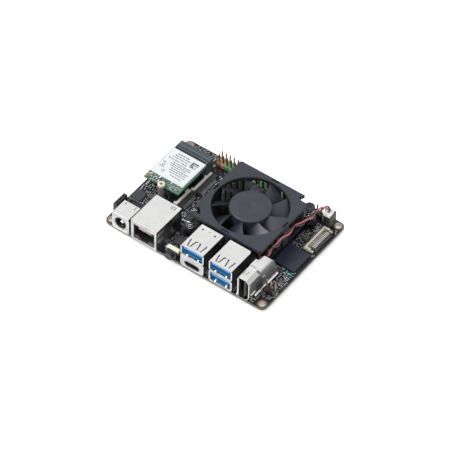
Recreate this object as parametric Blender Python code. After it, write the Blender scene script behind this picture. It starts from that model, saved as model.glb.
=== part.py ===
"""Single board computer with an active cooler, a wireless card and its edge connectors.

Sizes are in millimetres, and MM turns them into Blender's metres. Heights are measured from the top of
the board and places from its middle: +X runs along the long edge and the large sockets face -Y. The
whole assembly hangs on one empty that lifts it onto its solder tails, so the world origin is below the
middle of its outline.
"""

import math

import bmesh
import bpy
from mathutils import Matrix, Vector

MM = 0.001
GAP = 0.1  # between a seated piece and what it sits on
JOIN = "UNION"
CUT = "DIFFERENCE"

# The board.
BOARD_LENGTH = 100.0
BOARD_WIDTH = 72.0
BOARD_THICKNESS = 1.6
BOARD_CORNER = 3.0
FRONT = -BOARD_WIDTH / 2
MOUNTING_INSET = 3.0
MOUNTING_RADIUS = 1.6
PAD_RADIUS = 2.7
PAD_THICKNESS = 0.05
TAIL_LENGTH = 1.6
TAIL_CLEARANCE = 0.25
STAND = BOARD_THICKNESS + TAIL_LENGTH
BUTTON_OVERHANG = 2.0

# Pin headers.
PITCH = 2.54
PIN_WIDTH = 0.64
PIN_TOP = 8.5

# The cooler.
COOLER_CENTRE = (11.8, 5.0)
COOLER_SIDE = 45.0
COOLER_CORNER = 1.5
BASE_BOTTOM = 2.2
BASE_TOP = 4.2
COVER_BOTTOM = 14.0
COVER_TOP = 16.0
OPENING_RADIUS = 20.2
POCKET_RADIUS = 20.9
FIN_COUNT = 40
FIN_THICKNESS = 1.1
FIN_TOP = COVER_BOTTOM - 0.3
CLIP_WIDTH = 5.0
CLIP_THICKNESS = 1.0
CLIP_RADIUS = 21.3
PUSH_PIN_OFFSET = (22.0, 20.7)
PUSH_PIN_CLEARANCE = 5.3
CORNER_NOTCH = (  # in the cover, beside the front push pin
    (-30.0, -24.0),
    (-30.0, -18.4),
    (-22.5, -17.6),
    (-19.7, -16.2),
    (-16.6, -19.9),
    (-19.5, -20.6),
    (-21.0, -24.0),
)
PUSH_PIN_HOLE = 1.8
PUSH_PIN_SHAFT = 1.4
PUSH_PIN_HEAD = 2.8
PUSH_PIN_TOP = 12.6
HUB_RADIUS = 11.0
HUB_TOP = COVER_TOP - 0.1
BLADE_COUNT = 9
BLADE_TIP = 19.6
BLADE_TOP = 14.9
BLADE_DROP = 6.4
BLADE_SPAN = math.radians(32)
BLADE_SWEEP = math.radians(10)
SHAFT_RADIUS = 1.0
BEARING_CLEARANCE = 0.08
BEARING_RADIUS = 3.0
MOTOR_BASE_TOP = 5.1

# The fan's lead: two wires twisted round the route from the motor to the plug.
WIRE_RADIUS = 0.5
TWIST_RADIUS = 0.62
TWIST_TURNS = 4.5
LEAD_ROUTE = (
    (20.3, -3.5, 5.6),
    (24.0, -7.3, 5.6),
    (28.6, -11.2, 6.0),
    (32.6, -13.6, 8.0),
    (35.5, -13.2, 11.2),
    (35.8, -10.2, 13.2),
    (36.4, -6.2, 12.9),
    (36.0, -1.4, 13.6),
    (36.2, 4.4, 12.9),
    (36.1, 9.0, 13.3),
    (37.6, 13.2, 12.5),
    (37.9, 17.4, 12.2),
    (38.2, 22.0, 11.4),
    (38.3, 26.4, 10.6),
    (39.2, 29.2, 11.3),
    (40.8, 30.5, 12.0),
    (42.2, 30.75, 11.4),
    (42.4, 30.75, 9.9),
)
LEAD_POINTS = 40
PLUG_AT = (42.35, 30.75)
PLUG_TOP = 9.5

# Edge connectors: the middle of each one's front face, at the board.
ETHERNET_AT = (-23.9, -37.0)
USB_LEFT_AT = (5.95, -36.4)
USB_RIGHT_AT = (23.45, -36.4)
VIDEO_AT = (37.9, -36.6)
JACK_AT = (-38.8, -36.7)
BUTTON_AT = (-7.7, FRONT)
POWER_HEADER_AT = (-48.5, -24.15)
GPIO_AT = (-2.07, 31.83)
DEBUG_AT = (46.1, -24.4)
SERVICE_AT = (36.9, 32.3)
USB_WIDTH = 13.3
USB_DEPTH = 17.4
USB_HEIGHT = 14.8
USB_WALL = 0.35
USB_MOUTH_HEIGHT = 5.3
USB_TONGUE_RISE = 2.6
USB_UPPER_MOUTH = 8.9
USB_LOWER_MOUTH = 1.5

# Solder tails as x, y, width and depth, from the connector's own place.
ETHERNET_TAILS = ((-7.8, 9.0, 0.3, 1.6), (7.8, 9.0, 0.3, 1.6))
ETHERNET_PEGS = ((-5.1, 13.0, 2.4, 2.4), (5.1, 13.0, 2.4, 2.4))
USB_TAILS = tuple((side * (USB_WIDTH - USB_WALL) / 2, y, 0.25, 1.6) for side in (-1, 1) for y in (4.0, 12.5))
VIDEO_TAILS = tuple((side * 3.0, y, 0.25, 1.6) for side in (-1, 1) for y in (3.0, 14.0))
JACK_SHELL_TAILS = ((-4.8, 4.0, 0.25, 1.6), (4.8, 4.0, 0.25, 1.6))
JACK_HOUSING_TAILS = ((0.0, 7.0, 2.0, 0.8), (0.0, 12.8, 2.0, 0.8))

# The wireless card.
CARD_LEFT = -47.6
CARD_RIGHT = -25.7
CARD_NEAR = -5.6
CARD_LENGTH = 29.6
CARD_BOTTOM = 7.9
CARD_THICKNESS = 0.8
SHIELD_TOP = 9.7
SCREW_AT = (-36.4, -5.6)

# Flat-cable sockets: hinge line of the flap, near end, far end, length of the step beside the card socket.
FLAP_TOP = 2.1
CAMERA_SOCKETS = {"camera_socket_front": (-25.8, -6.5, 6.0, 0), "camera_socket_back": (-24.4, 6.6, 22.6, 3.5)}
DISPLAY_SOCKET = (45.1, 9.3, 27.3)


# ---- shapes ---------------------------------------------------------------


def add_box(bm, low, high):
    """A box between two corners."""
    middle = (Vector(low) + Vector(high)) / 2
    size = Vector(high) - Vector(low)
    bmesh.ops.create_cube(bm, size=1, matrix=Matrix.Translation(middle) @ Matrix.Diagonal((*size, 1)))


def add_rod(bm, start, length, radius, axis="Z", sides=24):
    """A round bar from the middle of its first end, along Z or Y."""
    turn = Matrix.Rotation(-math.pi / 2, 4, "X") if axis == "Y" else Matrix()
    place = Matrix.Translation(start) @ turn @ Matrix.Translation((0, 0, length / 2))
    bmesh.ops.create_cone(
        bm, cap_ends=True, segments=sides, radius1=radius, radius2=radius, depth=length, matrix=place
    )


def add_prism(bm, outline, low, high, axis="Z"):
    """An outline drawn in XY and raised along Z, or drawn in XZ and run along Y."""
    swap = (lambda u, v, w: (u, w, v)) if axis == "Y" else (lambda u, v, w: (u, v, w))
    ends = [[bm.verts.new(swap(u, v, w)) for u, v in outline] for w in (low, high)]
    bm.faces.new(ends[0])
    bm.faces.new(ends[1])
    for i in range(len(outline)):
        bm.faces.new((ends[0][i - 1], ends[0][i], ends[1][i], ends[1][i - 1]))


def add_turned(bm, profile, sides=24, closed=False):
    """A profile of (radius, height) points turned round Z; a point at radius 0 closes an end."""
    rings = []
    for radius, height in profile:
        count = sides if radius > 0 else 1
        angles = [2 * math.pi * k / sides for k in range(count)]
        rings.append([bm.verts.new((radius * math.cos(a), radius * math.sin(a), height)) for a in angles])
    pairs = list(zip(rings, rings[1:] + rings[:1])) if closed else list(zip(rings, rings[1:]))
    for first, second in pairs:
        for k in range(sides):
            if len(first) == 1:
                corners = (first[0], second[k], second[k - 1])
            elif len(second) == 1:
                corners = (first[k - 1], first[k], second[0])
            else:
                corners = (first[k - 1], first[k], second[k], second[k - 1])
            bm.faces.new(corners)


def add_tube(bm, path, radius, sides):
    """A round wire through a list of points, with flat ends."""
    rings = []
    for i, point in enumerate(path):
        ahead = (path[min(i + 1, len(path) - 1)] - path[max(i - 1, 0)]).normalized()
        across = ahead.cross(Vector((0, 0, 1))).normalized()
        above = across.cross(ahead)
        ring = []
        for k in range(sides):
            angle = 2 * math.pi * k / sides
            ring.append(bm.verts.new(point + radius * (across * math.cos(angle) + above * math.sin(angle))))
        rings.append(ring)
    bm.faces.new(rings[0])
    bm.faces.new(rings[-1])
    for first, second in zip(rings, rings[1:]):
        for k in range(sides):
            bm.faces.new((first[k - 1], first[k], second[k], second[k - 1]))


def rounded_rectangle(length, width, radius, steps=5):
    """Corner arcs of a rectangle round the origin, counter-clockwise."""
    points = []
    for k, (sx, sy) in enumerate(((1, 1), (-1, 1), (-1, -1), (1, -1))):
        for i in range(steps):
            angle = math.pi / 2 * (k + i / (steps - 1))
            x = sx * (length / 2 - radius) + radius * math.cos(angle)
            y = sy * (width / 2 - radius) + radius * math.sin(angle)
            points.append((x, y))
    return points


def obround(half_width, radius, height, steps=6):
    """A slot outline with round ends, lying along X at a height."""
    points = []
    for side in (1, -1):
        for i in range(steps + 1):
            angle = side * math.pi * (i / steps - 0.5)
            x = side * ((half_width - radius) + radius * math.cos(angle))
            points.append((x, height + radius * math.sin(angle)))
    return points


def moved(points, place):
    return [(x + place[0], y + place[1]) for x, y in points]


# ---- objects --------------------------------------------------------------


def clear_scene():
    for each in list(bpy.data.objects):
        bpy.data.objects.remove(each)


def material(name, colour, roughness, metallic=0.0):
    """A plain Principled finish, made once for each name."""
    if name in bpy.data.materials:
        return bpy.data.materials[name]
    finish = bpy.data.materials.new(name)
    finish.use_nodes = True
    shader = finish.node_tree.nodes["Principled BSDF"]
    shader.inputs["Base Color"].default_value = (*colour, 1)
    shader.inputs["Roughness"].default_value = roughness
    shader.inputs["Metallic"].default_value = metallic
    return finish


def mesh_of(build):
    """The mesh that a building function draws in millimetres, in metres and facing out."""
    bm = bmesh.new()
    build(bm)
    bmesh.ops.scale(bm, vec=(MM, MM, MM), verts=bm.verts)
    bmesh.ops.recalc_face_normals(bm, faces=bm.faces)
    mesh = bpy.data.meshes.new("shape")
    bm.to_mesh(mesh)
    bm.free()
    return mesh


def combine(target, operation, build):
    """Joins another shape to an object, or cuts it away."""
    tool = bpy.data.objects.new("tool", mesh_of(build))
    bpy.context.collection.objects.link(tool)
    modifier = target.modifiers.new(operation, "BOOLEAN")
    modifier.operation = operation
    modifier.object = tool
    depsgraph = bpy.context.evaluated_depsgraph_get()
    result = bpy.data.meshes.new_from_object(target.evaluated_get(depsgraph))
    target.modifiers.clear()
    target.data = result
    bpy.data.objects.remove(tool)


def part(name, finish, build, steps=(), at=(0, 0, 0), smooth=False):
    """One sub-part: a first shape, then shapes joined to it and cut from it in turn."""
    piece = bpy.data.objects.new(name, mesh_of(build))
    bpy.context.collection.objects.link(piece)
    for operation, shape in steps:
        combine(piece, operation, shape)
    piece.data.materials.clear()
    piece.data.materials.append(finish)
    if smooth:
        piece.data.shade_smooth()
        piece.data.set_sharp_from_angle(angle=math.radians(35))
    piece.parent = bpy.data.objects["assembly"]
    piece.location = Vector(at) * MM
    return piece


def assembly():
    """The empty that stands the board on its tails."""
    frame = bpy.data.objects.new("assembly", None)
    bpy.context.collection.objects.link(frame)
    frame.location = Vector((0, BUTTON_OVERHANG / 2, STAND)) * MM


def black_plastic():
    return material("black_plastic", (0.02, 0.02, 0.022), 0.45)


def chip_black():
    return material("chip_black", (0.03, 0.03, 0.035), 0.5)


def plated_steel():
    return material("plated_steel", (0.78, 0.77, 0.75), 0.25, 1.0)


def blue_plastic():
    return material("blue_plastic", (0.03, 0.18, 0.5), 0.4)


def cream_plastic():
    return material("cream_plastic", (0.78, 0.74, 0.62), 0.5)


# ---- board ----------------------------------------------------------------


def header_pins(columns, rows):
    """Pin places of a header, from its middle."""
    xs = [(i - (columns - 1) / 2) * PITCH for i in range(columns)]
    ys = [(j - (rows - 1) / 2) * PITCH for j in range(rows)]
    return [(x, y, PIN_WIDTH, PIN_WIDTH) for x in xs for y in ys]


def turned_about(pins):
    """The same pins with their row along Y."""
    return [(y, x, depth, width) for x, y, width, depth in pins]


def through_hole_tails():
    """Every tail that passes through the board, with its connector's place."""
    return (
        (ETHERNET_AT, ETHERNET_TAILS + ETHERNET_PEGS),
        (USB_LEFT_AT, USB_TAILS),
        (USB_RIGHT_AT, USB_TAILS),
        (VIDEO_AT, VIDEO_TAILS),
        (JACK_AT, JACK_SHELL_TAILS + JACK_HOUSING_TAILS),
        (GPIO_AT, header_pins(20, 2)),
        (DEBUG_AT, header_pins(3, 1)),
        (SERVICE_AT, header_pins(3, 1)),
        (POWER_HEADER_AT, turned_about(header_pins(3, 1))),
        (PLUG_AT, turned_about(header_pins(2, 1))),
    )


def add_tails(bm, tails, top):
    """Tails from inside a connector down to the standing plane."""
    for x, y, width, depth in tails:
        add_box(bm, (x - width / 2, y - depth / 2, -STAND), (x + width / 2, y + depth / 2, top))


def push_pin_places():
    cx, cy = COOLER_CENTRE
    dx, dy = PUSH_PIN_OFFSET
    return {"front": (cx - dx, cy - dy), "back": (cx + dx, cy + dy)}


def mounting_places():
    x = BOARD_LENGTH / 2 - MOUNTING_INSET
    y = BOARD_WIDTH / 2 - MOUNTING_INSET
    return [(sx * x, sy * y) for sx in (-1, 1) for sy in (-1, 1)]


def main_board():
    def plate(bm):
        outline = rounded_rectangle(BOARD_LENGTH, BOARD_WIDTH, BOARD_CORNER)
        add_prism(bm, outline, -BOARD_THICKNESS, 0)

    def pads(bm):
        height = BOARD_THICKNESS + 2 * PAD_THICKNESS
        for x, y in mounting_places():
            add_rod(bm, (x, y, PAD_THICKNESS - height), height, PAD_RADIUS)

    def holes(bm):
        for x, y in mounting_places():
            add_rod(bm, (x, y, -4), 8, MOUNTING_RADIUS)
        for x, y in push_pin_places().values():
            add_rod(bm, (x, y, -4), 8, PUSH_PIN_HOLE, sides=16)
        for (cx, cy), tails in through_hole_tails():
            for x, y, width, depth in tails:
                half = (width / 2 + TAIL_CLEARANCE, depth / 2 + TAIL_CLEARANCE)
                add_box(bm, (cx + x - half[0], cy + y - half[1], -4), (cx + x + half[0], cy + y + half[1], 4))

    mask = material("solder_mask", (0.012, 0.014, 0.016), 0.4)
    part("main_board", mask, plate, [(JOIN, pads), (CUT, holes)])


def chip(name, middle, size, height):
    """A flat package seated on the board."""
    x, y = middle
    low = (-size[0] / 2, -size[1] / 2, GAP)
    high = (size[0] / 2, size[1] / 2, GAP + height)
    part(name, chip_black(), lambda bm: add_box(bm, low, high), at=(x, y, 0))


def chips():
    chip("memory_chip", (41.4, 0.4), (13.0, 14.5), 1.0)
    chip("storage_chip", (-36.5, 9.0), (11.5, 13.0), 1.0)
    chip("power_chip", (-46.2, -11.8), (6.4, 6.4), 0.9)
    chip("port_chip", (-10.2, -24.4), (5.5, 5.5), 0.9)
    chip("inductor_left", (-40.0, -9.4), (3.0, 3.0), 1.8)
    chip("inductor_right", (39.3, 15.6), (3.0, 3.0), 1.8)
    chip("status_light", (46.3, -9.2), (1.6, 0.8), 0.6)


# ---- cooler ---------------------------------------------------------------


def processor():
    def package(bm):
        add_box(bm, (-10.5, -10.5, GAP), (10.5, 10.5, 1.4))

    def pad(bm):
        add_box(bm, (-10, -10, 1.5), (10, 10, BASE_BOTTOM - GAP))

    place = (*COOLER_CENTRE, 0)
    part("processor", chip_black(), package, at=place)
    part("thermal_pad", material("thermal_pad", (0.45, 0.5, 0.55), 0.8), pad, at=place)


def fin_angles():
    """Fins all round the pocket, left out at the four clips and where the lead leaves."""
    step = 360 / FIN_COUNT
    skipped = {0, 90, 180, 270, 315}
    return [math.radians(step * k) for k in range(FIN_COUNT) if step * k not in skipped]


def add_fin(bm, angle):
    """An upright fin from the pocket's wall to the edge of the base."""
    reach = (COOLER_SIDE / 2 - 0.8) / max(abs(math.cos(angle)), abs(math.sin(angle)))
    size = (reach - POCKET_RADIUS, FIN_THICKNESS, FIN_TOP - BASE_TOP + 0.5)
    middle = ((reach + POCKET_RADIUS) / 2, 0, (FIN_TOP + BASE_TOP - 0.5) / 2)
    place = Matrix.Rotation(angle, 4, "Z") @ Matrix.Translation(middle) @ Matrix.Diagonal((*size, 1))
    bmesh.ops.create_cube(bm, size=1, matrix=place)


def heatsink():
    def base(bm):
        add_prism(bm, rounded_rectangle(COOLER_SIDE, COOLER_SIDE, COOLER_CORNER), BASE_BOTTOM, BASE_TOP)

    def ears(bm):
        for side in (-1, 1):
            middle = (side * PUSH_PIN_OFFSET[0], side * PUSH_PIN_OFFSET[1], BASE_BOTTOM + 0.2)
            add_rod(bm, middle, BASE_TOP - BASE_BOTTOM - 0.4, 3.8)

    def fins(bm):
        for angle in fin_angles():
            add_fin(bm, angle)

    def openings(bm):
        for side in (-1, 1):
            x, y = side * PUSH_PIN_OFFSET[0], side * PUSH_PIN_OFFSET[1]
            add_rod(bm, (x, y, 0), BASE_TOP + 1, PUSH_PIN_HOLE, sides=16)
            notch = CLIP_WIDTH / 2 + 0.3
            inner = CLIP_RADIUS - 0.2
            add_box(bm, (min(side * inner, side * 30), -notch, 0), (max(side * inner, side * 30), notch, 6))
            add_box(bm, (-notch, min(side * inner, side * 30), 0), (notch, max(side * inner, side * 30), 6))

    def pin_wells(bm):
        for side in (-1, 1):
            x, y = side * PUSH_PIN_OFFSET[0], side * PUSH_PIN_OFFSET[1]
            add_rod(bm, (x, y, BASE_TOP + 0.05), 20, PUSH_PIN_CLEARANCE)

    finish = material("heatsink", (0.05, 0.05, 0.055), 0.4, 0.6)
    steps = [(JOIN, ears), (JOIN, fins), (CUT, openings), (CUT, pin_wells)]
    part("heatsink", finish, base, steps, at=(*COOLER_CENTRE, 0))


def fan_cover():
    def plate(bm):
        outline = rounded_rectangle(COOLER_SIDE, COOLER_SIDE, COOLER_CORNER)
        add_prism(bm, outline, COVER_BOTTOM, COVER_TOP)

    def openings(bm):
        add_rod(bm, (0, 0, 10), 10, OPENING_RADIUS, sides=72)
        for side in (-1, 1):
            add_box(bm, (side * 21.45 - 0.35, -2.6, 15.2), (side * 21.45 + 0.35, 2.6, 17))
            add_box(bm, (-2.6, side * 21.45 - 0.35, 15.2), (2.6, side * 21.45 + 0.35, 17))

    def head_rooms(bm):
        for side in (-1, 1):
            middle = (side * PUSH_PIN_OFFSET[0], side * PUSH_PIN_OFFSET[1], 10)
            add_rod(bm, middle, 10, PUSH_PIN_HEAD + 0.4, sides=32)

    def notches(bm):
        """An angular notch beside each push pin; the second is the first mirrored across a diagonal."""
        add_prism(bm, CORNER_NOTCH, 10, 20)
        add_prism(bm, [(-y, -x) for x, y in CORNER_NOTCH], 10, 20)

    def clips(bm):
        for turn in range(4):
            place = Matrix.Rotation(turn * math.pi / 2, 4, "Z")
            leg = bmesh.ops.create_cube(bm, size=1)["verts"]
            size = (CLIP_THICKNESS, CLIP_WIDTH, COVER_BOTTOM + 0.6 - 1.3)
            middle = (CLIP_RADIUS + CLIP_THICKNESS / 2, 0, 1.3 + size[2] / 2)
            bmesh.ops.transform(
                bm, matrix=place @ Matrix.Translation(middle) @ Matrix.Diagonal((*size, 1)), verts=leg
            )

    def hooks(bm):
        for turn in range(4):
            place = Matrix.Rotation(turn * math.pi / 2, 4, "Z")
            tooth = bmesh.ops.create_cube(bm, size=1)["verts"]
            size = (1.4, CLIP_WIDTH - 0.6, 0.6)
            middle = (CLIP_RADIUS - 0.3, 0, 1.75)
            bmesh.ops.transform(
                bm, matrix=place @ Matrix.Translation(middle) @ Matrix.Diagonal((*size, 1)), verts=tooth
            )

    finish = material("fan_plastic", (0.045, 0.045, 0.05), 0.5)
    steps = [(CUT, openings), (CUT, head_rooms), (CUT, notches), (JOIN, clips), (JOIN, hooks)]
    part("fan_cover", finish, plate, steps, at=(*COOLER_CENTRE, 0))


def add_blade(bm, lead_angle):
    """A curved slab from the hub to the tip that falls away behind its top edge."""
    radii = (HUB_RADIUS - 0.4, 13.5, 16.5, BLADE_TIP)
    shares = (0, 0.25, 0.5, 0.75, 1)
    thickness = 0.7
    layers = []
    for offset in (0, -thickness):
        layer = []
        for radius in radii:
            sweep = BLADE_SWEEP * (radius - HUB_RADIUS) / (BLADE_TIP - HUB_RADIUS)
            row = []
            for share in shares:
                angle = lead_angle + sweep - BLADE_SPAN * share
                height = BLADE_TOP - BLADE_DROP * share**1.15 + offset
                row.append(bm.verts.new((radius * math.cos(angle), radius * math.sin(angle), height)))
            layer.append(row)
        layers.append(layer)
    top, bottom = layers
    for i in range(len(radii) - 1):
        for j in range(len(shares) - 1):
            for layer in layers:
                bm.faces.new((layer[i][j], layer[i + 1][j], layer[i + 1][j + 1], layer[i][j + 1]))
        for j in (0, -1):
            bm.faces.new((top[i][j], top[i + 1][j], bottom[i + 1][j], bottom[i][j]))
    for j in range(len(shares) - 1):
        for i in (0, -1):
            bm.faces.new((top[i][j], top[i][j + 1], bottom[i][j + 1], bottom[i][j]))


def fan_rotor():
    wall = 0.8
    skirt = 7.4

    def hub(bm):
        profile = (
            (0, HUB_TOP - 1.2),
            (HUB_RADIUS - wall, HUB_TOP - 1.2),
            (HUB_RADIUS - wall, skirt),
            (HUB_RADIUS, skirt),
            (HUB_RADIUS, HUB_TOP - 0.4),
            (HUB_RADIUS - 0.4, HUB_TOP),
            (0, HUB_TOP),
        )
        add_turned(bm, profile, sides=48)

    def blades(bm):
        for k in range(BLADE_COUNT):
            add_blade(bm, 2 * math.pi * k / BLADE_COUNT + math.radians(6))

    finish = material("rotor_plastic", (0.055, 0.055, 0.06), 0.45)
    part("fan_rotor", finish, hub, [(JOIN, blades)], at=(*COOLER_CENTRE, 0), smooth=True)


def fan_motor():
    bore = SHAFT_RADIUS + BEARING_CLEARANCE
    place = (*COOLER_CENTRE, 0)

    def base(bm):
        add_turned(bm, ((0, BASE_TOP + GAP), (10, BASE_TOP + GAP), (10, MOTOR_BASE_TOP), (0, MOTOR_BASE_TOP)))

    def sleeve(bm):
        low = MOTOR_BASE_TOP + GAP
        add_turned(bm, ((bore, low), (BEARING_RADIUS, low), (BEARING_RADIUS, 13), (bore, 13)), closed=True)

    def shaft(bm):
        add_rod(bm, (0, 0, MOTOR_BASE_TOP + 0.2), HUB_TOP - 1.3 - MOTOR_BASE_TOP - 0.2, SHAFT_RADIUS)

    def core(bm):
        inner = BEARING_RADIUS + GAP
        add_turned(bm, ((inner, 7.5), (4.6, 7.5), (4.6, 11.5), (inner, 11.5)), closed=True)

    def arms(bm):
        tee = [(4.1, -1.1), (7.6, -1.1), (7.6, -4.2), (8.6, -4.2)]
        tee += [(x, -y) for x, y in reversed(tee)]
        for turn in range(4):
            spin = Matrix.Rotation(turn * math.pi / 2, 2)
            add_prism(bm, [tuple(spin @ Vector(p)) for p in tee], 7.6, 11.4)

    part("fan_motor_base", material("motor_base", (0.02, 0.1, 0.04), 0.5), base, at=place, smooth=True)
    part("fan_bearing", material("bearing", (0.55, 0.4, 0.2), 0.3, 1.0), sleeve, at=place, smooth=True)
    part("fan_shaft", plated_steel(), shaft, at=place, smooth=True)
    part("fan_coil_core", material("core_steel", (0.3, 0.3, 0.3), 0.4, 1.0), core, [(JOIN, arms)], at=place)


def push_pins():
    """A head, a shaft through the heatsink's ear and the board, and a barb that holds below."""
    under_board = -BOARD_THICKNESS - 0.15

    def pin(bm):
        profile = (
            (0, -STAND + 0.3),
            (1.1, -STAND + 0.3),
            (2.15, under_board - 0.25),
            (2.15, under_board),
            (PUSH_PIN_SHAFT, under_board),
            (PUSH_PIN_SHAFT, PUSH_PIN_TOP - 1.4),
            (PUSH_PIN_HEAD, PUSH_PIN_TOP - 1.4),
            (PUSH_PIN_HEAD, PUSH_PIN_TOP - 0.3),
            (PUSH_PIN_HEAD - 0.3, PUSH_PIN_TOP),
            (0, PUSH_PIN_TOP),
        )
        add_turned(bm, profile)

    def spring(bm):
        turns = 5
        per_turn = 10
        wire = 0.28
        low = BASE_TOP + 0.05 + wire + 0.05
        high = PUSH_PIN_TOP - 1.4 - 0.1 - wire
        count = turns * per_turn
        path = []
        for i in range(count + 1):
            angle = 2 * math.pi * i / per_turn
            height = low + (high - low) * i / count
            path.append(Vector((2.2 * math.cos(angle), 2.2 * math.sin(angle), height)))
        add_tube(bm, path, wire, 5)

    for name, (x, y) in push_pin_places().items():
        part(f"push_pin_{name}", black_plastic(), pin, at=(x, y, 0), smooth=True)
        part(f"push_pin_spring_{name}", plated_steel(), spring, at=(x, y, 0), smooth=True)


# ---- fan lead -------------------------------------------------------------


def lead_centre_line():
    """A smooth curve through the route, read at even steps."""
    knots = [Vector(p) for p in LEAD_ROUTE]
    knots = [2 * knots[0] - knots[1]] + knots + [2 * knots[-1] - knots[-2]]
    spans = len(LEAD_ROUTE) - 1
    points = []
    for i in range(LEAD_POINTS):
        along = spans * i / (LEAD_POINTS - 1)
        k = min(int(along), spans - 1)
        t = along - k
        a, b, c, d = knots[k : k + 4]
        points.append(
            0.5 * (2 * b + (c - a) * t + (2 * a - 5 * b + 4 * c - d) * t**2 + (3 * b - a - 3 * c + d) * t**3)
        )
    return points


def twisted_pair():
    """The two wires' paths: a turning offset to either side of the centre line."""
    centre = lead_centre_line()
    aheads = [
        (centre[min(i + 1, LEAD_POINTS - 1)] - centre[max(i - 1, 0)]).normalized() for i in range(LEAD_POINTS)
    ]
    across = aheads[0].cross(Vector((0, 0, 1))).normalized()
    frames = []
    for i, ahead in enumerate(aheads):
        if i:
            across = aheads[i - 1].rotation_difference(ahead) @ across
        across = (across - ahead * across.dot(ahead)).normalized()
        frames.append((across.copy(), ahead.cross(across)))
    last_across, last_above = frames[-1]
    final = math.atan2(last_above.y, last_across.y)
    paths = ([], [])
    for i, (point, (side, above)) in enumerate(zip(centre, frames)):
        angle = final + 2 * math.pi * TWIST_TURNS * (i / (LEAD_POINTS - 1) - 1)
        offset = TWIST_RADIUS * (side * math.cos(angle) + above * math.sin(angle))
        paths[0].append(point + offset)
        paths[1].append(point - offset)
    return paths


def wire(name, finish, path):
    """A round wire along a path, as a beveled curve."""
    curve = bpy.data.curves.new(name, "CURVE")
    curve.dimensions = "3D"
    curve.bevel_depth = WIRE_RADIUS * MM
    curve.bevel_resolution = 2
    curve.use_fill_caps = True
    spline = curve.splines.new("POLY")
    spline.points.add(len(path) - 1)
    for target, point in zip(spline.points, path):
        target.co = (*(point * MM), 1)
    curve.materials.append(finish)
    piece = bpy.data.objects.new(name, curve)
    bpy.context.collection.objects.link(piece)
    piece.parent = bpy.data.objects["assembly"]


def fan_lead():
    red, black = twisted_pair()
    wire("fan_wire_red", material("red_wire", (0.35, 0.05, 0.06), 0.4), red)
    wire("fan_wire_black", material("black_wire", (0.03, 0.02, 0.02), 0.4), black)

    def plug(bm):
        add_box(bm, (-2.0, -2.4, 3.4), (2.0, 2.4, PLUG_TOP))

    def sockets(bm):
        for x, y, width, depth in turned_about(header_pins(2, 1)):
            add_box(bm, (x - 0.6, y - 0.6, 3), (x + 0.6, y + 0.6, 8.9))

    def header(bm):
        add_box(bm, (-1.5, -2.55, GAP), (2.7, 2.55, 3.2))

    def wall(bm):
        add_box(bm, (2.1, -1.7, 1), (2.65, 1.7, 8.6))
        add_tails(bm, turned_about(header_pins(2, 1)), 8.4)

    place = (*PLUG_AT, 0)
    part("fan_plug", material("white_plastic", (0.8, 0.8, 0.78), 0.45), plug, [(CUT, sockets)], at=place)
    part("fan_header", black_plastic(), header, [(JOIN, wall)], at=place)


# ---- edge connectors ------------------------------------------------------


def ethernet_socket():
    place = (*ETHERNET_AT, 0)

    def shell(bm):
        add_box(bm, (-8, 0, GAP), (8, 21.3, 13.4))

    def shell_hollow(bm):
        add_box(bm, (-7.6, 0.4, -1), (7.6, 20.9, 13))

    def shell_window(bm):
        add_box(bm, (-6.2, -1, 2.1), (6.2, 1, 11.1))

    def insert(bm):
        add_box(bm, (-7.5, 0.5, GAP), (7.5, 20.8, 12.9))

    def main_cavity(bm):
        add_box(bm, (-5.95, -1, 4.1), (5.95, 11.5, 10.9))

    def latch_cavity(bm):
        add_prism(bm, ((-3.1, 2.9), (3.1, 2.9), (3.1, 5), (-3.1, 5)), -1, 11, axis="Y")

    def latch_groove(bm):
        add_prism(bm, ((-1.7, 2.3), (1.7, 2.3), (1.7, 3.5), (-1.7, 3.5)), -1, 10.5, axis="Y")

    part(
        "ethernet_shell",
        plated_steel(),
        shell,
        [(CUT, shell_hollow), (CUT, shell_window), (JOIN, lambda bm: add_tails(bm, ETHERNET_TAILS, 3))],
        at=place,
    )
    steps = [(CUT, main_cavity), (CUT, latch_cavity), (CUT, latch_groove)]
    steps.append((JOIN, lambda bm: add_tails(bm, ETHERNET_PEGS, 1)))
    part("ethernet_insert", black_plastic(), insert, steps, at=place)


def stack_shell(name, place, lower_window):
    """The folded cover of a two-high stack, open below, with a wide mouth on top."""
    half = USB_WIDTH / 2

    def cover(bm):
        add_box(bm, (-half, 0, GAP), (half, USB_DEPTH, USB_HEIGHT))

    def hollow(bm):
        wall = USB_WALL
        add_box(bm, (-half + wall, wall, -1), (half - wall, USB_DEPTH - wall, USB_HEIGHT - wall))

    def upper_window(bm):
        low = USB_UPPER_MOUTH
        add_box(bm, (-6.05, -1, low), (6.05, 1, low + USB_MOUTH_HEIGHT))

    steps = [(CUT, hollow), (CUT, upper_window), (CUT, lower_window)]
    steps.append((JOIN, lambda bm: add_tails(bm, USB_TAILS, 2)))
    part(name, plated_steel(), cover, steps, at=(*place, 0))


def port_tongue(name, place, low, high, tongue_bottom):
    """The blue insulator of one port: a block at the back and a flat tongue."""

    def block(bm):
        add_box(bm, (-6.15, 12.5, low), (6.15, 16.9, high))

    def tongue(bm):
        add_box(bm, (-5.6, 1.6, tongue_bottom), (5.6, 13, tongue_bottom + 1.84))

    part(name, blue_plastic(), block, [(JOIN, tongue)], at=(*place, 0))


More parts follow.
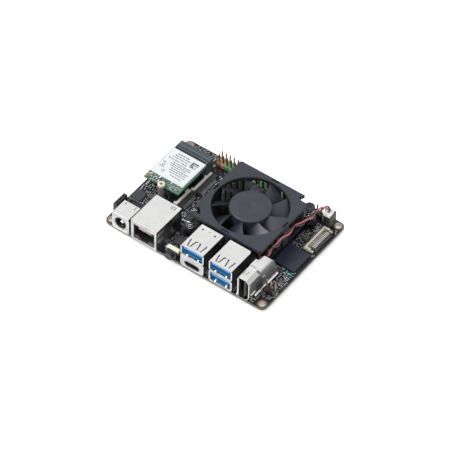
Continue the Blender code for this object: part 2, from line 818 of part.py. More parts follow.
def usb_stacks():
    def wide_window(bm):
        add_box(bm, (-6.05, -1, USB_LOWER_MOUTH), (6.05, 1, USB_LOWER_MOUTH + USB_MOUTH_HEIGHT))

    def oval_window(bm):
        add_prism(bm, obround(4.75, 1.85, 3.1), -1, 1, axis="Y")

    stack_shell("usb_left_shell", USB_LEFT_AT, oval_window)
    stack_shell("usb_right_shell", USB_RIGHT_AT, wide_window)
    port_tongue("usb_left_tongue", USB_LEFT_AT, 7.5, 14.3, USB_UPPER_MOUTH + USB_TONGUE_RISE)
    port_tongue("usb_right_upper_tongue", USB_RIGHT_AT, 7.5, 14.3, USB_UPPER_MOUTH + USB_TONGUE_RISE)
    port_tongue("usb_right_lower_tongue", USB_RIGHT_AT, 0.2, 7.3, USB_LOWER_MOUTH + USB_TONGUE_RISE)

    def tube(bm):
        add_prism(bm, obround(4.5, 1.6, 3.1), 0.1, 11.9, axis="Y")

    def tube_bore(bm):
        add_prism(bm, obround(4.2, 1.3, 3.1), -1, 13, axis="Y")

    def block(bm):
        add_box(bm, (-6.15, 12.3, 0.2), (6.15, 16.9, 7.3))

    def tongue(bm):
        add_box(bm, (-3.3, 1.0, 2.75), (3.3, 13, 3.45))

    place = (*USB_LEFT_AT, 0)
    part("usb_small_shell", plated_steel(), tube, [(CUT, tube_bore)], at=place)
    part("usb_small_tongue", black_plastic(), block, [(JOIN, tongue)], at=place)


def video_socket():
    """The socket stands on its edge, and its back bulges out to where the contacts turn down."""
    place = (*VIDEO_AT, 0)
    depth = 19.0
    bulge = 5.6
    bulge_left = -0.9
    bulge_low = 2.7

    def back_profile(inset):
        """The back's curve in YZ, from the foot of the bulge up to the top edge."""
        steps = 8
        rise = 14.9 - inset - bulge_low
        return [
            (depth - inset + bulge * k / steps, bulge_low + rise * (1 - (k / steps) ** 1.6))
            for k in range(steps, -1, -1)
        ]

    def outline(inset):
        """The D-shaped section on its edge, its narrow side towards +X."""
        left, right = -3.2 + inset, 3.2 - inset
        low, high = 0.3 + inset, 14.9 - inset
        slope = 2.1 - 0.4 * inset
        return (
            (left, low),
            (right - slope + 0.3, low),
            (right, low + slope),
            (right, high - slope),
            (right - slope + 0.3, high),
            (left, high),
        )

    def shell(bm):
        add_prism(bm, outline(0), 0, depth + bulge, axis="Y")

    def behind(bm):
        beyond = depth + bulge + 5
        add_prism(bm, [*back_profile(0), (depth, 20), (beyond, 20), (beyond, bulge_low)], -8, 8, axis="X")

    def beside(bm):
        add_box(bm, (-8, depth, -1), (bulge_left, depth + bulge + 5, 20))

    def hollow(bm):
        add_prism(bm, outline(0.4), -1, depth - 0.4, axis="Y")

    def bulge_hollow(bm):
        add_prism(bm, [*back_profile(0.4), (12, 14.5), (12, 0.7), (depth + bulge - 0.4, 0.7)], bulge_left + 0.4, 0.9, axis="X")

    def flange(bm):
        add_box(bm, (1.7, 1.5, 0.9), (3.6, depth - 0.5, 1.25))

    def insert(bm):
        add_prism(bm, outline(0.5), 12, depth - 0.5, axis="Y")

    def tongue(bm):
        add_box(bm, (-0.5, 1.2, 2.0), (0.6, 13, 13.2))

    steps = [
        (CUT, behind),
        (CUT, beside),
        (CUT, hollow),
        (CUT, bulge_hollow),
        (JOIN, lambda bm: add_tails(bm, VIDEO_TAILS, 3.4)),
        (JOIN, flange),
    ]
    part("video_shell", plated_steel(), shell, steps, at=place)
    part("video_insert", black_plastic(), insert, [(JOIN, tongue)], at=place)


def power_jack():
    place = (*JACK_AT, 0)
    bore_height = 5.6

    def shell(bm):
        add_box(bm, (-5, 0, GAP), (5, 10.1, 11))

    def shell_hollow(bm):
        add_box(bm, (-4.6, 0.4, -1), (4.6, 12, 10.6))

    def shell_window(bm):
        add_rod(bm, (0, -1, bore_height), 2, 3.6, axis="Y")

    def housing(bm):
        add_box(bm, (-4.5, 0.5, GAP), (4.5, 14.6, 9.4))

    def bore(bm):
        add_rod(bm, (0, -1, bore_height), 10.5, 3.05, axis="Y")

    def pin_seat(bm):
        add_rod(bm, (0, 9, bore_height), 3.1, 1.35, axis="Y", sides=16)

    def pin(bm):
        add_rod(bm, (0, 1.2, bore_height), 10.8, 1.25, axis="Y", sides=16)

    steps = [(CUT, shell_hollow), (CUT, shell_window)]
    steps.append((JOIN, lambda bm: add_tails(bm, JACK_SHELL_TAILS, 3)))
    part("jack_shell", plated_steel(), shell, steps, at=place)
    steps = [(CUT, bore), (CUT, pin_seat), (JOIN, lambda bm: add_tails(bm, JACK_HOUSING_TAILS, 1.5))]
    part("jack_housing", black_plastic(), housing, steps, at=place)
    part("jack_pin", plated_steel(), pin, at=place, smooth=True)


def power_button():
    height = 2.45
    place = (*BUTTON_AT, 0)

    def body(bm):
        add_box(bm, (-3.0, 0.3, GAP), (3.0, 4.4, 4.2))

    def stem_hole(bm):
        add_rod(bm, (0, -1, height), 4.6, 1.5, axis="Y")

    def frame(bm):
        outline = [(-3.6, GAP), (-3.15, GAP), (-3.15, 4.35), (3.15, 4.35)]
        outline += [(3.15, GAP), (3.6, GAP), (3.6, 5.1), (-3.6, 5.1)]
        add_prism(bm, outline, 1.4, 3.6, axis="Y")

    def cap(bm):
        add_rod(bm, (0, 0, 0), BUTTON_OVERHANG - 0.3, 2.3, axis="Y", sides=32)

    def stem(bm):
        add_rod(bm, (0, 1, 0), 3.9, 1.3, axis="Y")

    part("button_body", black_plastic(), body, [(CUT, stem_hole)], at=place)
    part("button_frame", cream_plastic(), frame, at=place)
    place = (BUTTON_AT[0], BUTTON_AT[1] - BUTTON_OVERHANG, height)
    part("button_plunger", black_plastic(), cap, [(JOIN, stem)], at=place, smooth=True)


def pin_header(name, place, pins, half_size, height=PITCH):
    """A plastic strip with square pins through it."""
    hx, hy = half_size

    def strip(bm):
        add_box(bm, (-hx, -hy, GAP), (hx, hy, height))

    part(name, black_plastic(), strip, [(JOIN, lambda bm: add_tails(bm, pins, PIN_TOP))], at=(*place, 0))


def headers():
    pin_header("gpio_header", GPIO_AT, header_pins(20, 2), (10 * PITCH, PITCH))
    pin_header("debug_header", DEBUG_AT, header_pins(3, 1), (1.5 * PITCH, PITCH / 2))
    pin_header("service_header", SERVICE_AT, header_pins(3, 1), (1.5 * PITCH, PITCH / 2))

    def wall(bm):
        add_box(bm, (-1.1, -4.55, GAP), (1.1, 4.55, 6.5))

    def sockets(bm):
        for x, y, width, depth in turned_about(header_pins(3, 1)):
            add_box(bm, (x - 0.5, y - 0.5, 1.5), (x + 0.5, y + 0.5, 8))

    steps = [(CUT, sockets), (JOIN, lambda bm: add_tails(bm, turned_about(header_pins(3, 1)), 1))]
    part("power_header", black_plastic(), wall, steps, at=(*POWER_HEADER_AT, 0))


# ---- wireless card --------------------------------------------------------


def wireless_card():
    far = CARD_NEAR + CARD_LENGTH
    top = CARD_BOTTOM + CARD_THICKNESS
    notch = 1.9
    shoulder = 19.3

    def card(bm):
        outline = [(CARD_LEFT, CARD_NEAR)]
        for i in range(9):
            angle = math.pi * (1 - i / 8)
            outline.append((SCREW_AT[0] + notch * math.cos(angle), CARD_NEAR + notch * math.sin(angle)))
        outline += [(CARD_RIGHT, CARD_NEAR), (CARD_RIGHT, shoulder), (CARD_RIGHT - 1.2, shoulder)]
        outline += [(CARD_RIGHT - 1.2, far), (CARD_LEFT + 1.4, far), (CARD_LEFT + 1.4, shoulder)]
        outline.append((CARD_LEFT, shoulder))
        add_prism(bm, outline, CARD_BOTTOM, top)

    def shield(bm):
        add_box(bm, (CARD_LEFT + 0.7, -1.1, top + GAP), (CARD_RIGHT - 0.6, 19.2, SHIELD_TOP))

    def socket(bm):
        add_box(bm, (-46.7, 19.5, GAP), (-26.3, 25.5, 10))

    def slot(bm):
        add_box(bm, (-46.35, 19, CARD_BOTTOM - 0.1), (-26.75, far + 0.1, top + 0.1))

    def standoff(bm):
        high = CARD_BOTTOM - GAP
        add_turned(bm, ((0, GAP), (2.3, GAP), (2.3, high), (1.55, high), (1.55, 3.5), (0, 3.5)))

    def screw(bm):
        profile = (
            (0, 4.5),
            (1.4, 4.5),
            (1.4, top + GAP),
            (2.65, top + GAP),
            (2.65, 9.9),
            (2.35, 10.2),
            (1.0, 10.2),
            (0.9, 9.4),
            (0, 9.4),
        )
        add_turned(bm, profile)

    green = material("card_green", (0.05, 0.16, 0.1), 0.45)
    part("wireless_card", green, card)
    part("card_shield", material("label_white", (0.85, 0.88, 0.88), 0.5), shield)
    part("card_socket", material("slate_plastic", (0.08, 0.1, 0.12), 0.45), socket, [(CUT, slot)])
    part("card_standoff", material("dark_metal", (0.12, 0.12, 0.12), 0.4, 0.7), standoff, at=(*SCREW_AT, 0))
    part("card_screw", material("pale_brass", (0.75, 0.7, 0.5), 0.3, 0.8), screw, at=(*SCREW_AT, 0))


# ---- flat-cable sockets ---------------------------------------------------


def camera_sockets():
    """Low sockets with the flap on the card's side and the tails towards the cooler."""
    section = (
        (-2.5, GAP),
        (3.7, GAP),
        (3.7, 0.35),
        (3.1, 0.35),
        (3.1, FLAP_TOP),
        (0.1, FLAP_TOP),
        (0.1, 0.8),
        (-2.5, 0.8),
    )
    for name, (hinge, near, far, notch) in CAMERA_SOCKETS.items():
        length = far - near
        end = length - 0.1

        def body(bm):
            add_prism(bm, section, 0, length, axis="Y")

        def step(bm):
            add_box(bm, (-3, length - notch - 0.1, -1), (-1.4, length + 1, 3))

        def flap(bm):
            outline = [(-2.4, 0.1), (-0.05, 0.1), (-0.05, end)]
            if notch:
                outline += [(-1.35, end), (-1.35, length - notch), (-2.4, length - notch)]
            else:
                outline.append((-2.4, end))
            add_prism(bm, outline, -1.15, 0)

        part(name, black_plastic(), body, [(CUT, step)] if notch else (), at=(hinge, near, 0))
        part(name.replace("socket", "latch"), cream_plastic(), flap, at=(hinge, near, FLAP_TOP))


def display_socket():
    """A cream housing with an ear at each end and a dark flap between them."""
    hinge, near, far = DISPLAY_SOCKET
    length = far - near
    ear = 1.7

    def housing(bm):
        section = [(-3.2, GAP), (2.7, GAP), (2.7, 0.8), (-0.1, 0.8)]
        section += [(-0.1, FLAP_TOP), (-2.5, FLAP_TOP), (-2.5, 0.35), (-3.2, 0.35)]
        add_prism(bm, section, 0, length, axis="Y")

    def ears(bm):
        for low in (0.05, length - ear):
            add_box(bm, (-0.6, low, 0.4), (2.6, low + ear - 0.05, FLAP_TOP - 0.05))

    def flap(bm):
        add_box(bm, (0.0, ear + 0.15, -1.15), (2.55, length - ear - 0.15, 0))

    part("display_socket", cream_plastic(), housing, [(JOIN, ears)], at=(hinge, near, 0))
    dark = material("brown_plastic", (0.1, 0.09, 0.08), 0.5)
    part("display_latch", dark, flap, at=(hinge, near, FLAP_TOP))


def memory_card_socket():
    """A low metal socket under the right edge, open to the side."""
    high = -BOARD_THICKNESS - GAP

    def cover(bm):
        add_box(bm, (34.5, -2, high - 1.4), (49.2, 12.5, high))

    def mouth(bm):
        add_box(bm, (36, -0.9, high - 1.15), (52, 11.4, high - 0.25))

    part("memory_card_socket", plated_steel(), cover, [(CUT, mouth)])


def build():
    clear_scene()
    assembly()
    main_board()
    chips()
    processor()
    heatsink()
    fan_cover()
    fan_motor()
    fan_rotor()
    push_pins()
    fan_lead()
    ethernet_socket()
    usb_stacks()
    video_socket()
    power_jack()
    power_button()
    headers()
    wireless_card()
    camera_sockets()
    display_socket()
    memory_card_socket()


build()
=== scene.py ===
"""Looks of the single board computer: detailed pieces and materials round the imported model.

Sizes are in millimetres from the middle of the board's top face, as the model's own layout is. put() turns
them into the frame's metres. Each piece rides on its body, and one that stands for a plain solid names it.
A shape is a function that draws into a mesh, or a list of shapes.
"""

import math
import random

import bmesh
import bpy
from mathutils import Matrix, Vector


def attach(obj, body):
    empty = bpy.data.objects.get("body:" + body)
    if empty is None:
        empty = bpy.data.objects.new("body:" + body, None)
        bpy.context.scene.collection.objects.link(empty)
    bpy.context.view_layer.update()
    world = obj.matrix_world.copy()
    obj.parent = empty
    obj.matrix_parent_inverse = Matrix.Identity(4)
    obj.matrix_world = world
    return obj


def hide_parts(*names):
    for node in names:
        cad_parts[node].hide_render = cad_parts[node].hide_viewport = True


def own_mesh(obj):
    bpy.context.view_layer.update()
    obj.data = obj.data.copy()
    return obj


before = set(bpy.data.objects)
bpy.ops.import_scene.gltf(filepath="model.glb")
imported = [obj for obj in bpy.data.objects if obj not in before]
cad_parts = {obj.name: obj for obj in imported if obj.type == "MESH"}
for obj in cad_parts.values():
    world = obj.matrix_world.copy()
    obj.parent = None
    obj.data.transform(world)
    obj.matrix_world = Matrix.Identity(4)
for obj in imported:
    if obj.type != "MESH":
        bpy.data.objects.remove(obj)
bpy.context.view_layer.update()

MM = 0.001
LIFT = Vector((0, 1.0, 3.2))  # from the board's middle to the frame's origin, in millimetres
UP = Vector((0, 0, 1))

# The camera, in degrees and millimetres about the board's middle.
CAMERA_AZIMUTH = 34.94
CAMERA_ELEVATION = 47.41
CAMERA_ROLL = 1.82
CAMERA_DISTANCE = 1588.7
CAMERA_LENS = 250.3
CAMERA_SHIFT = (-0.0003, -0.0055)

# The layout.
BOARD = (100.0, 72.0, 1.6)
BOARD_CORNER = 3.0
TAIL_TIP = -3.2
HOLES = [(sx * 47.0, sy * 33.0) for sx in (-1, 1) for sy in (-1, 1)]
HOLE_RADIUS = 1.6
PAD_RADIUS = 2.9
PAD_STEP = 2.1
PITCH = 2.54
COOLER = Vector((11.8, 5.0, 0))
PUSH_PINS = {"front": Vector((-10.2, -15.7, 0)), "back": Vector((33.8, 25.7, 0))}
PUSH_PIN_HOLE = 1.8
ETHERNET = Vector((-23.9, -37.0, 0))
USB_LEFT = Vector((5.95, -36.4, 0))
USB_RIGHT = Vector((23.45, -36.4, 0))
VIDEO = Vector((37.9, -36.6, 0))
JACK = Vector((-38.8, -36.7, 0))
BUTTON = Vector((-7.7, -36.0, 0))
POWER_HEADER = Vector((-48.5, -24.15, 0))
GPIO = Vector((-2.07, 31.83, 0))
DEBUG = Vector((46.1, -24.4, 0))
SERVICE = Vector((36.9, 32.3, 0))
PLUG = Vector((42.35, 30.75, 0))


# ---- shapes ---------------------------------------------------------------


def add_box(bm, low, high, turn=0.0, about=(0, 0)):
    """A box between two corners, turned in plan by some degrees about a point."""
    low, high = Vector(low), Vector(high)
    place = Matrix.Translation((low + high) / 2) @ Matrix.Diagonal((*(high - low), 1))
    if turn:
        pivot = Matrix.Translation((*about, 0))
        place = pivot @ Matrix.Rotation(math.radians(turn), 4, "Z") @ pivot.inverted() @ place
    bmesh.ops.create_cube(bm, size=1, matrix=place)


def add_rod(bm, start, length, radius, axis="Z", sides=32, tip=None):
    """A round bar or cone from the middle of its first end."""
    quarter = math.pi / 2
    turns = {"Z": Matrix(), "Y": Matrix.Rotation(-quarter, 4, "X"), "X": Matrix.Rotation(quarter, 4, "Y")}
    place = Matrix.Translation(start) @ turns[axis] @ Matrix.Translation((0, 0, length / 2))
    end = radius if tip is None else tip
    bmesh.ops.create_cone(
        bm, cap_ends=True, segments=sides, radius1=radius, radius2=end, depth=length, matrix=place
    )


def add_rings(bm, rings, closed=False):
    """Walls between rings of points, with a face at each end or joined from the last ring to the first."""
    rings = [[bm.verts.new(point) for point in ring] for ring in rings]
    if closed:
        rings.append(rings[0])
    else:
        bm.faces.new(rings[0])
        bm.faces.new(rings[-1])
    for first, second in zip(rings, rings[1:]):
        for k in range(len(first)):
            bm.faces.new((first[k - 1], first[k], second[k], second[k - 1]))


def add_prism(bm, outline, low, high, axis="Z"):
    """An outline in XY raised along Z, in XZ run along Y, or in YZ run along X."""
    order = {
        "Z": lambda u, v, w: (u, v, w),
        "Y": lambda u, v, w: (u, w, v),
        "X": lambda u, v, w: (w, u, v),
    }[axis]
    add_rings(bm, [[order(u, v, w) for u, v in outline] for w in (low, high)])


def add_turned(bm, profile, sides=48, closed=False, at=(0, 0)):
    """A profile of (radius, height) points turned round an upright line, from axis to axis or closed."""
    rings = []
    for radius, height in profile:
        turns = [2 * math.pi * k / sides for k in range(sides if radius > 0 else 1)]
        rings.append([(at[0] + radius * math.cos(a), at[1] + radius * math.sin(a), height) for a in turns])
    if closed:
        add_rings(bm, rings, True)
        return
    rings = [[bm.verts.new(point) for point in ring] for ring in rings]
    for first, second in zip(rings, rings[1:]):
        for k in range(sides):
            if len(first) == 1:
                bm.faces.new((first[0], second[k], second[k - 1]))
            elif len(second) == 1:
                bm.faces.new((first[k - 1], first[k], second[0]))
            else:
                bm.faces.new((first[k - 1], first[k], second[k], second[k - 1]))


def add_tube(bm, path, radius, sides=12):
    """A round wire through points, with flat ends."""
    rings = []
    across = (path[1] - path[0]).normalized().orthogonal().normalized()
    for i, point in enumerate(path):
        ahead = (path[min(i + 1, len(path) - 1)] - path[max(i - 1, 0)]).normalized()
        across = (across - ahead * across.dot(ahead)).normalized()
        above = across.cross(ahead)
        turns = [2 * math.pi * k / sides for k in range(sides)]
        rings.append([point + radius * (across * math.cos(a) + above * math.sin(a)) for a in turns])
    add_rings(bm, rings)


def add_strip(bm, path, width, thickness):
    """A bent leaf of metal: points give its middle line, in a plane across X."""
    x = path[0][0]
    outline = [(y, z) for _, y, z in path] + [(y, z + thickness) for _, y, z in reversed(path)]
    add_prism(bm, outline, x - width / 2, x + width / 2, "X")


def shape_of(add):
    """Turns a function that draws into a mesh into one that returns its drawing as a shape."""
    return lambda *values, **options: lambda bm: add(bm, *values, **options)


box, rod, prism = shape_of(add_box), shape_of(add_rod), shape_of(add_prism)
turned, tube, strip = shape_of(add_turned), shape_of(add_tube), shape_of(add_strip)


def boxes(*corners):
    """A shape of boxes, each given as six numbers: its low corner and its high corner."""

    def shape(bm):
        for six in corners:
            add_box(bm, six[:3], six[3:])

    return shape


def draw(shape, bm):
    """Draws a shape, or each shape of a list, into a mesh."""
    if callable(shape):
        shape(bm)
    else:
        for part in shape:
            draw(part, bm)


def tab_slits(near, away, front, back, low, rise, thick, end):
    """Three slits round a sprung tab in a side face: along its bottom and its top, and across one end."""
    return [
        (near, front, low, away, back, low + thick),
        (near, front, low + rise, away, back, low + rise + thick),
        (near, end[0], low + 0.1, away, end[1], low + rise + 0.1),
    ]


def rounded_rectangle(length, width, radius, steps=8, at=(0, 0)):
    """Its corner points, from the far right corner on, with some steps to each corner."""
    points = []
    for k, (sx, sy) in enumerate(((1, 1), (-1, 1), (-1, -1), (1, -1))):
        for i in range(steps):
            a = math.pi / 2 * (k + i / (steps - 1))
            x = at[0] + sx * (length / 2 - radius) + radius * math.cos(a)
            y = at[1] + sy * (width / 2 - radius) + radius * math.sin(a)
            points.append((x, y))
    return points


def obround(half_width, radius, height, steps=10):
    """A lying slot with round ends."""
    points = []
    for side in (1, -1):
        for i in range(steps + 1):
            a = side * math.pi * (i / steps - 0.5)
            across = half_width - radius + radius * math.cos(a)
            points.append((side * across, height + radius * math.sin(a)))
    return points


def smooth_path(knots, count):
    """A smooth curve through points, read at even steps."""
    knots = [Vector(k) for k in knots]
    knots = [2 * knots[0] - knots[1]] + knots + [2 * knots[-1] - knots[-2]]
    spans = len(knots) - 3
    points = []
    for i in range(count):
        along = spans * i / (count - 1)
        k = min(int(along), spans - 1)
        t = along - k
        a, b, c, d = knots[k : k + 4]
        cubic = (2 * a - 5 * b + 4 * c - d) * t**2 + (3 * b - a - 3 * c + d) * t**3
        points.append(0.5 * (2 * b + (c - a) * t + cubic))
    return points


# ---- pieces ---------------------------------------------------------------


def mesh_of(shape, at):
    """A mesh in the frame's metres of a shape in millimetres."""
    bm = bmesh.new()
    draw(shape, bm)
    bmesh.ops.translate(bm, vec=Vector(at) + LIFT, verts=bm.verts)
    bmesh.ops.scale(bm, vec=(MM, MM, MM), verts=bm.verts)
    bmesh.ops.recalc_face_normals(bm, faces=bm.faces)
    mesh = bpy.data.meshes.new("shape")
    bm.to_mesh(mesh)
    bm.free()
    return mesh


def combine(target, operation, shape, at):
    """Cuts a shape from a piece, or joins it on."""
    tool = bpy.data.objects.new("tool", mesh_of(shape, at))
    bpy.context.collection.objects.link(tool)
    modifier = target.modifiers.new(operation, "BOOLEAN")
    modifier.operation = operation
    modifier.object = tool
    modifier.use_self = True
    depsgraph = bpy.context.evaluated_depsgraph_get()
    result = bpy.data.meshes.new_from_object(target.evaluated_get(depsgraph))
    target.modifiers.clear()
    target.data = result
    bpy.data.objects.remove(tool)


def put(name, finish, shape, cuts=(), joins=(), at=(0, 0, 0), body="board", nodes=(), slot=None, bevel=0.0,
        segments=2, angle=35, side=None):
    """A finished piece: its shape, its cuts and joins, its body and the solids it stands for; slot is not
    used.

    side is a darker copy of the finish for the upright faces: painted shade on the sides.
    """
    piece = bpy.data.objects.new(name, mesh_of(shape, at))
    bpy.context.collection.objects.link(piece)
    for tool in joins:
        combine(piece, "UNION", tool, at)
    for tool in cuts:
        combine(piece, "DIFFERENCE", tool, at)
    piece.data.materials.clear()
    piece.data.materials.append(finish)
    piece.data.shade_smooth()
    piece.data.set_sharp_from_angle(angle=math.radians(angle))
    if bevel:
        rounding = piece.modifiers.new("edges", "BEVEL")
        rounding.width = bevel * MM
        rounding.segments = segments
        rounding.limit_method = "ANGLE"
        rounding.angle_limit = math.radians(angle)
        rounding.use_clamp_overlap = True
        rounding.harden_normals = True
    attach(piece, body)
    if nodes:
        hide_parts(*nodes)
    # The upright faces take the second material, a darker copy: painted shade on the sides.
    if side:
        piece.data.materials.append(side)
        for face in piece.data.polygons:
            if abs(face.normal.z) < 0.5:
                face.material_index = 1
    return piece


pots = {}


def pot(name):
    """A shared mesh that many small pieces of one finish are drawn into."""
    if name not in pots:
        pots[name] = bmesh.new()
    return pots[name]


def pour(name, finish, slot, bevel=0.0):
    """Turns a shared mesh into one piece."""
    bm = pots.pop(name)
    mesh = bpy.data.meshes.new("pot")
    bm.to_mesh(mesh)
    bm.free()
    piece = put(name, finish, lambda target: target.from_mesh(mesh), slot=slot, bevel=bevel, segments=1)
    bpy.data.meshes.remove(mesh)
    return piece


# ---- materials ------------------------------------------------------------


class Nodes:
    """A short way to write a node tree."""

    def __init__(self, name):
        self.material = bpy.data.materials.new(name)
        self.material.use_nodes = True
        self.tree = self.material.node_tree
        self.shader = self.tree.nodes["Principled BSDF"]
        self.place = self.add("ShaderNodeTexCoord").outputs["Object"]

    def add(self, kind, **values):
        node = self.tree.nodes.new(kind)
        for key, value in values.items():
            setattr(node, key, value)
        return node

    def link(self, source, socket):
        self.tree.links.new(source, socket)

    def noise(self, scale, detail=3.0, stretch=(1, 1, 1), roughness=0.55):
        """Noise whose features are about scale millimetres across."""
        mapping = self.add("ShaderNodeMapping")
        mapping.inputs["Scale"].default_value = [s / (scale * MM) for s in stretch]
        self.link(self.place, mapping.inputs["Vector"])
        noise = self.add("ShaderNodeTexNoise")
        noise.inputs["Scale"].default_value = 1.0
        noise.inputs["Detail"].default_value = detail
        noise.inputs["Roughness"].default_value = roughness
        self.link(mapping.outputs["Vector"], noise.inputs["Vector"])
        return noise.outputs["Fac"]

    def ramp(self, source, stops):
        ramp = self.add("ShaderNodeValToRGB")
        elements = ramp.color_ramp.elements
        while len(elements) > len(stops):
            elements.remove(elements[-1])
        while len(elements) < len(stops):
            elements.new(1.0)
        for element, (position, colour) in zip(elements, stops):
            element.position = position
            element.color = colour if len(colour) == 4 else (*colour, 1)
        self.link(source, ramp.inputs["Fac"])
        return ramp.outputs["Color"]

    def remap(self, source, low, high, start=0.3, end=0.7):
        node = self.add("ShaderNodeMapRange")
        for key, value in (("From Min", start), ("From Max", end), ("To Min", low), ("To Max", high)):
            node.inputs[key].default_value = value
        self.link(source, node.inputs["Value"])
        return node.outputs["Result"]

    def paint(self, source):
        self.link(source, self.shader.inputs["Base Color"])

    def gloss(self, source, low, high):
        """Roughness that follows a noise."""
        self.link(self.remap(source, low, high), self.shader.inputs["Roughness"])

    def vary(self, source, colour, dark, light):
        """A colour that a noise makes darker and lighter."""
        return self.ramp(source, [(0.3, scaled(colour, dark)), (0.7, scaled(colour, light))])

    def mix(self, factor, first, second, blend="MIX"):
        node = self.add("ShaderNodeMix", data_type="RGBA", blend_type=blend)
        for source, socket in ((factor, node.inputs[0]), (first, node.inputs[6]), (second, node.inputs[7])):
            if hasattr(source, "links"):
                self.link(source, socket)
            elif isinstance(source, (int, float)):
                socket.default_value = source
            else:
                socket.default_value = source if len(source) == 4 else (*source, 1)
        return node.outputs[2]

    def bump(self, heights, depth):
        """Adds bumps one on the next; depth is in millimetres."""
        normal = None
        for height, strength in heights:
            node = self.add("ShaderNodeBump")
            node.inputs["Distance"].default_value = depth * MM
            node.inputs["Strength"].default_value = strength
            self.link(height, node.inputs["Height"])
            if normal is not None:
                self.link(normal, node.inputs["Normal"])
            normal = node.outputs["Normal"]
        self.link(normal, self.shader.inputs["Normal"])


def scaled(colour, factor):
    return tuple(min(1.0, c * factor) for c in colour)


def moulded(name, colour, roughness=0.45, grain=0.28, relief=0.5, depth=0.03, vary=0.18, coat=0.0):
    """Moulded plastic: fine spark-eroded grain, faint cloudiness and uneven gloss."""
    n = Nodes(name)
    cloud = n.noise(9.0, 2.0)
    fine = n.noise(grain, 4.0)
    base = n.vary(cloud, colour, 1 - vary, 1 + vary)
    speck = n.ramp(fine, [(0.35, (0.82, 0.82, 0.82)), (0.65, (1, 1, 1))])
    n.paint(n.mix(1.0, base, speck, "MULTIPLY"))
    n.gloss(fine, roughness - 0.06, roughness + 0.08)
    n.shader.inputs["Coat Weight"].default_value = coat
    n.bump([(fine, relief), (cloud, 0.15)], depth)
    return n.material


def sheet_metal(name, colour, roughness=0.24, along=(1, 14, 14), dirt=0.12, streak=0.86):
    """Plated sheet: brush lines one way, soft smudges and tiny pits."""
    n = Nodes(name)
    brush = n.noise(1.6, 5.0, along, 0.65)
    smudge = n.noise(6.0, 3.0)
    pits = n.noise(0.22, 2.0)
    tone = n.ramp(smudge, [(0.3, scaled(colour, 1 - dirt)), (0.65, colour)])
    lines = n.ramp(brush, [(0.3, (streak, streak, streak)), (0.7, (1, 1, 1))])
    n.paint(n.mix(0.7, tone, lines, "MULTIPLY"))
    n.shader.inputs["Metallic"].default_value = 1.0
    n.gloss(smudge, roughness + 0.1, roughness - 0.03)
    n.bump([(brush, 0.05), (pits, 0.03)], 0.01)
    return n.material


def bare_metal(name, colour, roughness=0.3, grain=0.3):
    """Small plated pins, pads and springs."""
    n = Nodes(name)
    fine = n.noise(grain, 4.0)
    wide = n.noise(2.5, 2.0)
    tone = n.vary(wide, colour, 0.8, 1.06)
    n.paint(tone)
    n.shader.inputs["Metallic"].default_value = 1.0
    n.gloss(fine, roughness - 0.08, roughness + 0.1)
    n.bump([(fine, 0.15)], 0.02)
    return n.material


def solder_mask(name, colour, copper, weave=0.35):
    """Lacquer over copper: pours and routed bundles that show through, glass weave and a satin skin."""
    n = Nodes(name)
    pours = n.noise(11.0, 1.0, roughness=0.3)
    edges = n.ramp(pours, [(0.495, (0, 0, 0)), (0.5, (1, 1, 1))])
    wave = n.add("ShaderNodeTexWave", wave_type="BANDS", bands_direction="DIAGONAL", wave_profile="SAW")
    wave.inputs["Scale"].default_value = 260.0
    n.link(n.place, wave.inputs["Vector"])
    routes = n.ramp(wave.outputs["Fac"], [(0.5, (0, 0, 0)), (0.52, (1, 1, 1))])
    area = n.ramp(n.noise(16.0, 0.5), [(0.52, (0, 0, 0)), (0.53, (1, 1, 1))])
    bundle = n.mix(area, (0, 0, 0), routes)
    fibre = n.noise(weave, 3.0)
    cloud = n.noise(14.0, 2.0)
    base = n.vary(cloud, colour, 0.8, 1.25)
    base = n.mix(edges, base, copper)
    base = n.mix(n.mix(1.0, bundle, (0.7, 0.7, 0.7), "MULTIPLY"), base, copper)
    n.paint(base)
    n.gloss(fibre, 0.34, 0.46)
    n.shader.inputs["Specular IOR Level"].default_value = 0.28
    n.bump([(edges, 0.3), (bundle, 0.35), (fibre, 0.1)], 0.03)
    return n.material


def laminate(name):
    """The cut edge of the board: glass cloth layers in resin."""
    n = Nodes(name)
    layers = n.noise(0.22, 2.0, (0.1, 0.1, 1))
    tones = [(0.35, (0.05, 0.045, 0.035)), (0.55, (0.13, 0.115, 0.085)), (0.7, (0.2, 0.18, 0.14))]
    base = n.ramp(layers, tones)
    n.paint(base)
    n.shader.inputs["Roughness"].default_value = 0.7
    n.bump([(layers, 0.5), (n.noise(0.15), 0.3)], 0.05)
    return n.material


def printed(name, colour, roughness=0.6):
    """Screen ink or paper: nearly even, with a little tooth."""
    n = Nodes(name)
    fine = n.noise(0.3, 4.0)
    wide = n.noise(7.0, 2.0)
    tone = n.ramp(wide, [(0.3, scaled(colour, 0.94)), (0.7, colour)])
    tooth = n.ramp(fine, [(0.3, (0.93, 0.93, 0.93)), (0.6, (1, 1, 1))])
    n.paint(n.mix(1.0, tone, tooth, "MULTIPLY"))
    n.gloss(fine, roughness - 0.05, roughness + 0.08)
    n.bump([(fine, 0.15)], 0.01)
    return n.material


def epoxy(name, colour, roughness=0.42):
    """A chip's moulding: dark, dusted with fine filler, with faint swirls."""
    n = Nodes(name)
    filler = n.noise(0.12, 5.0, roughness=0.7)
    swirl = n.noise(3.5, 3.0)
    base = n.vary(swirl, colour, 0.82, 1.2)
    dust = n.ramp(filler, [(0.4, (0.9, 0.9, 0.9)), (0.72, (1, 1, 1))])
    n.paint(n.mix(1.0, base, dust, "MULTIPLY"))
    n.gloss(swirl, roughness - 0.05, roughness + 0.08)
    n.bump([(filler, 0.35)], 0.015)
    return n.material


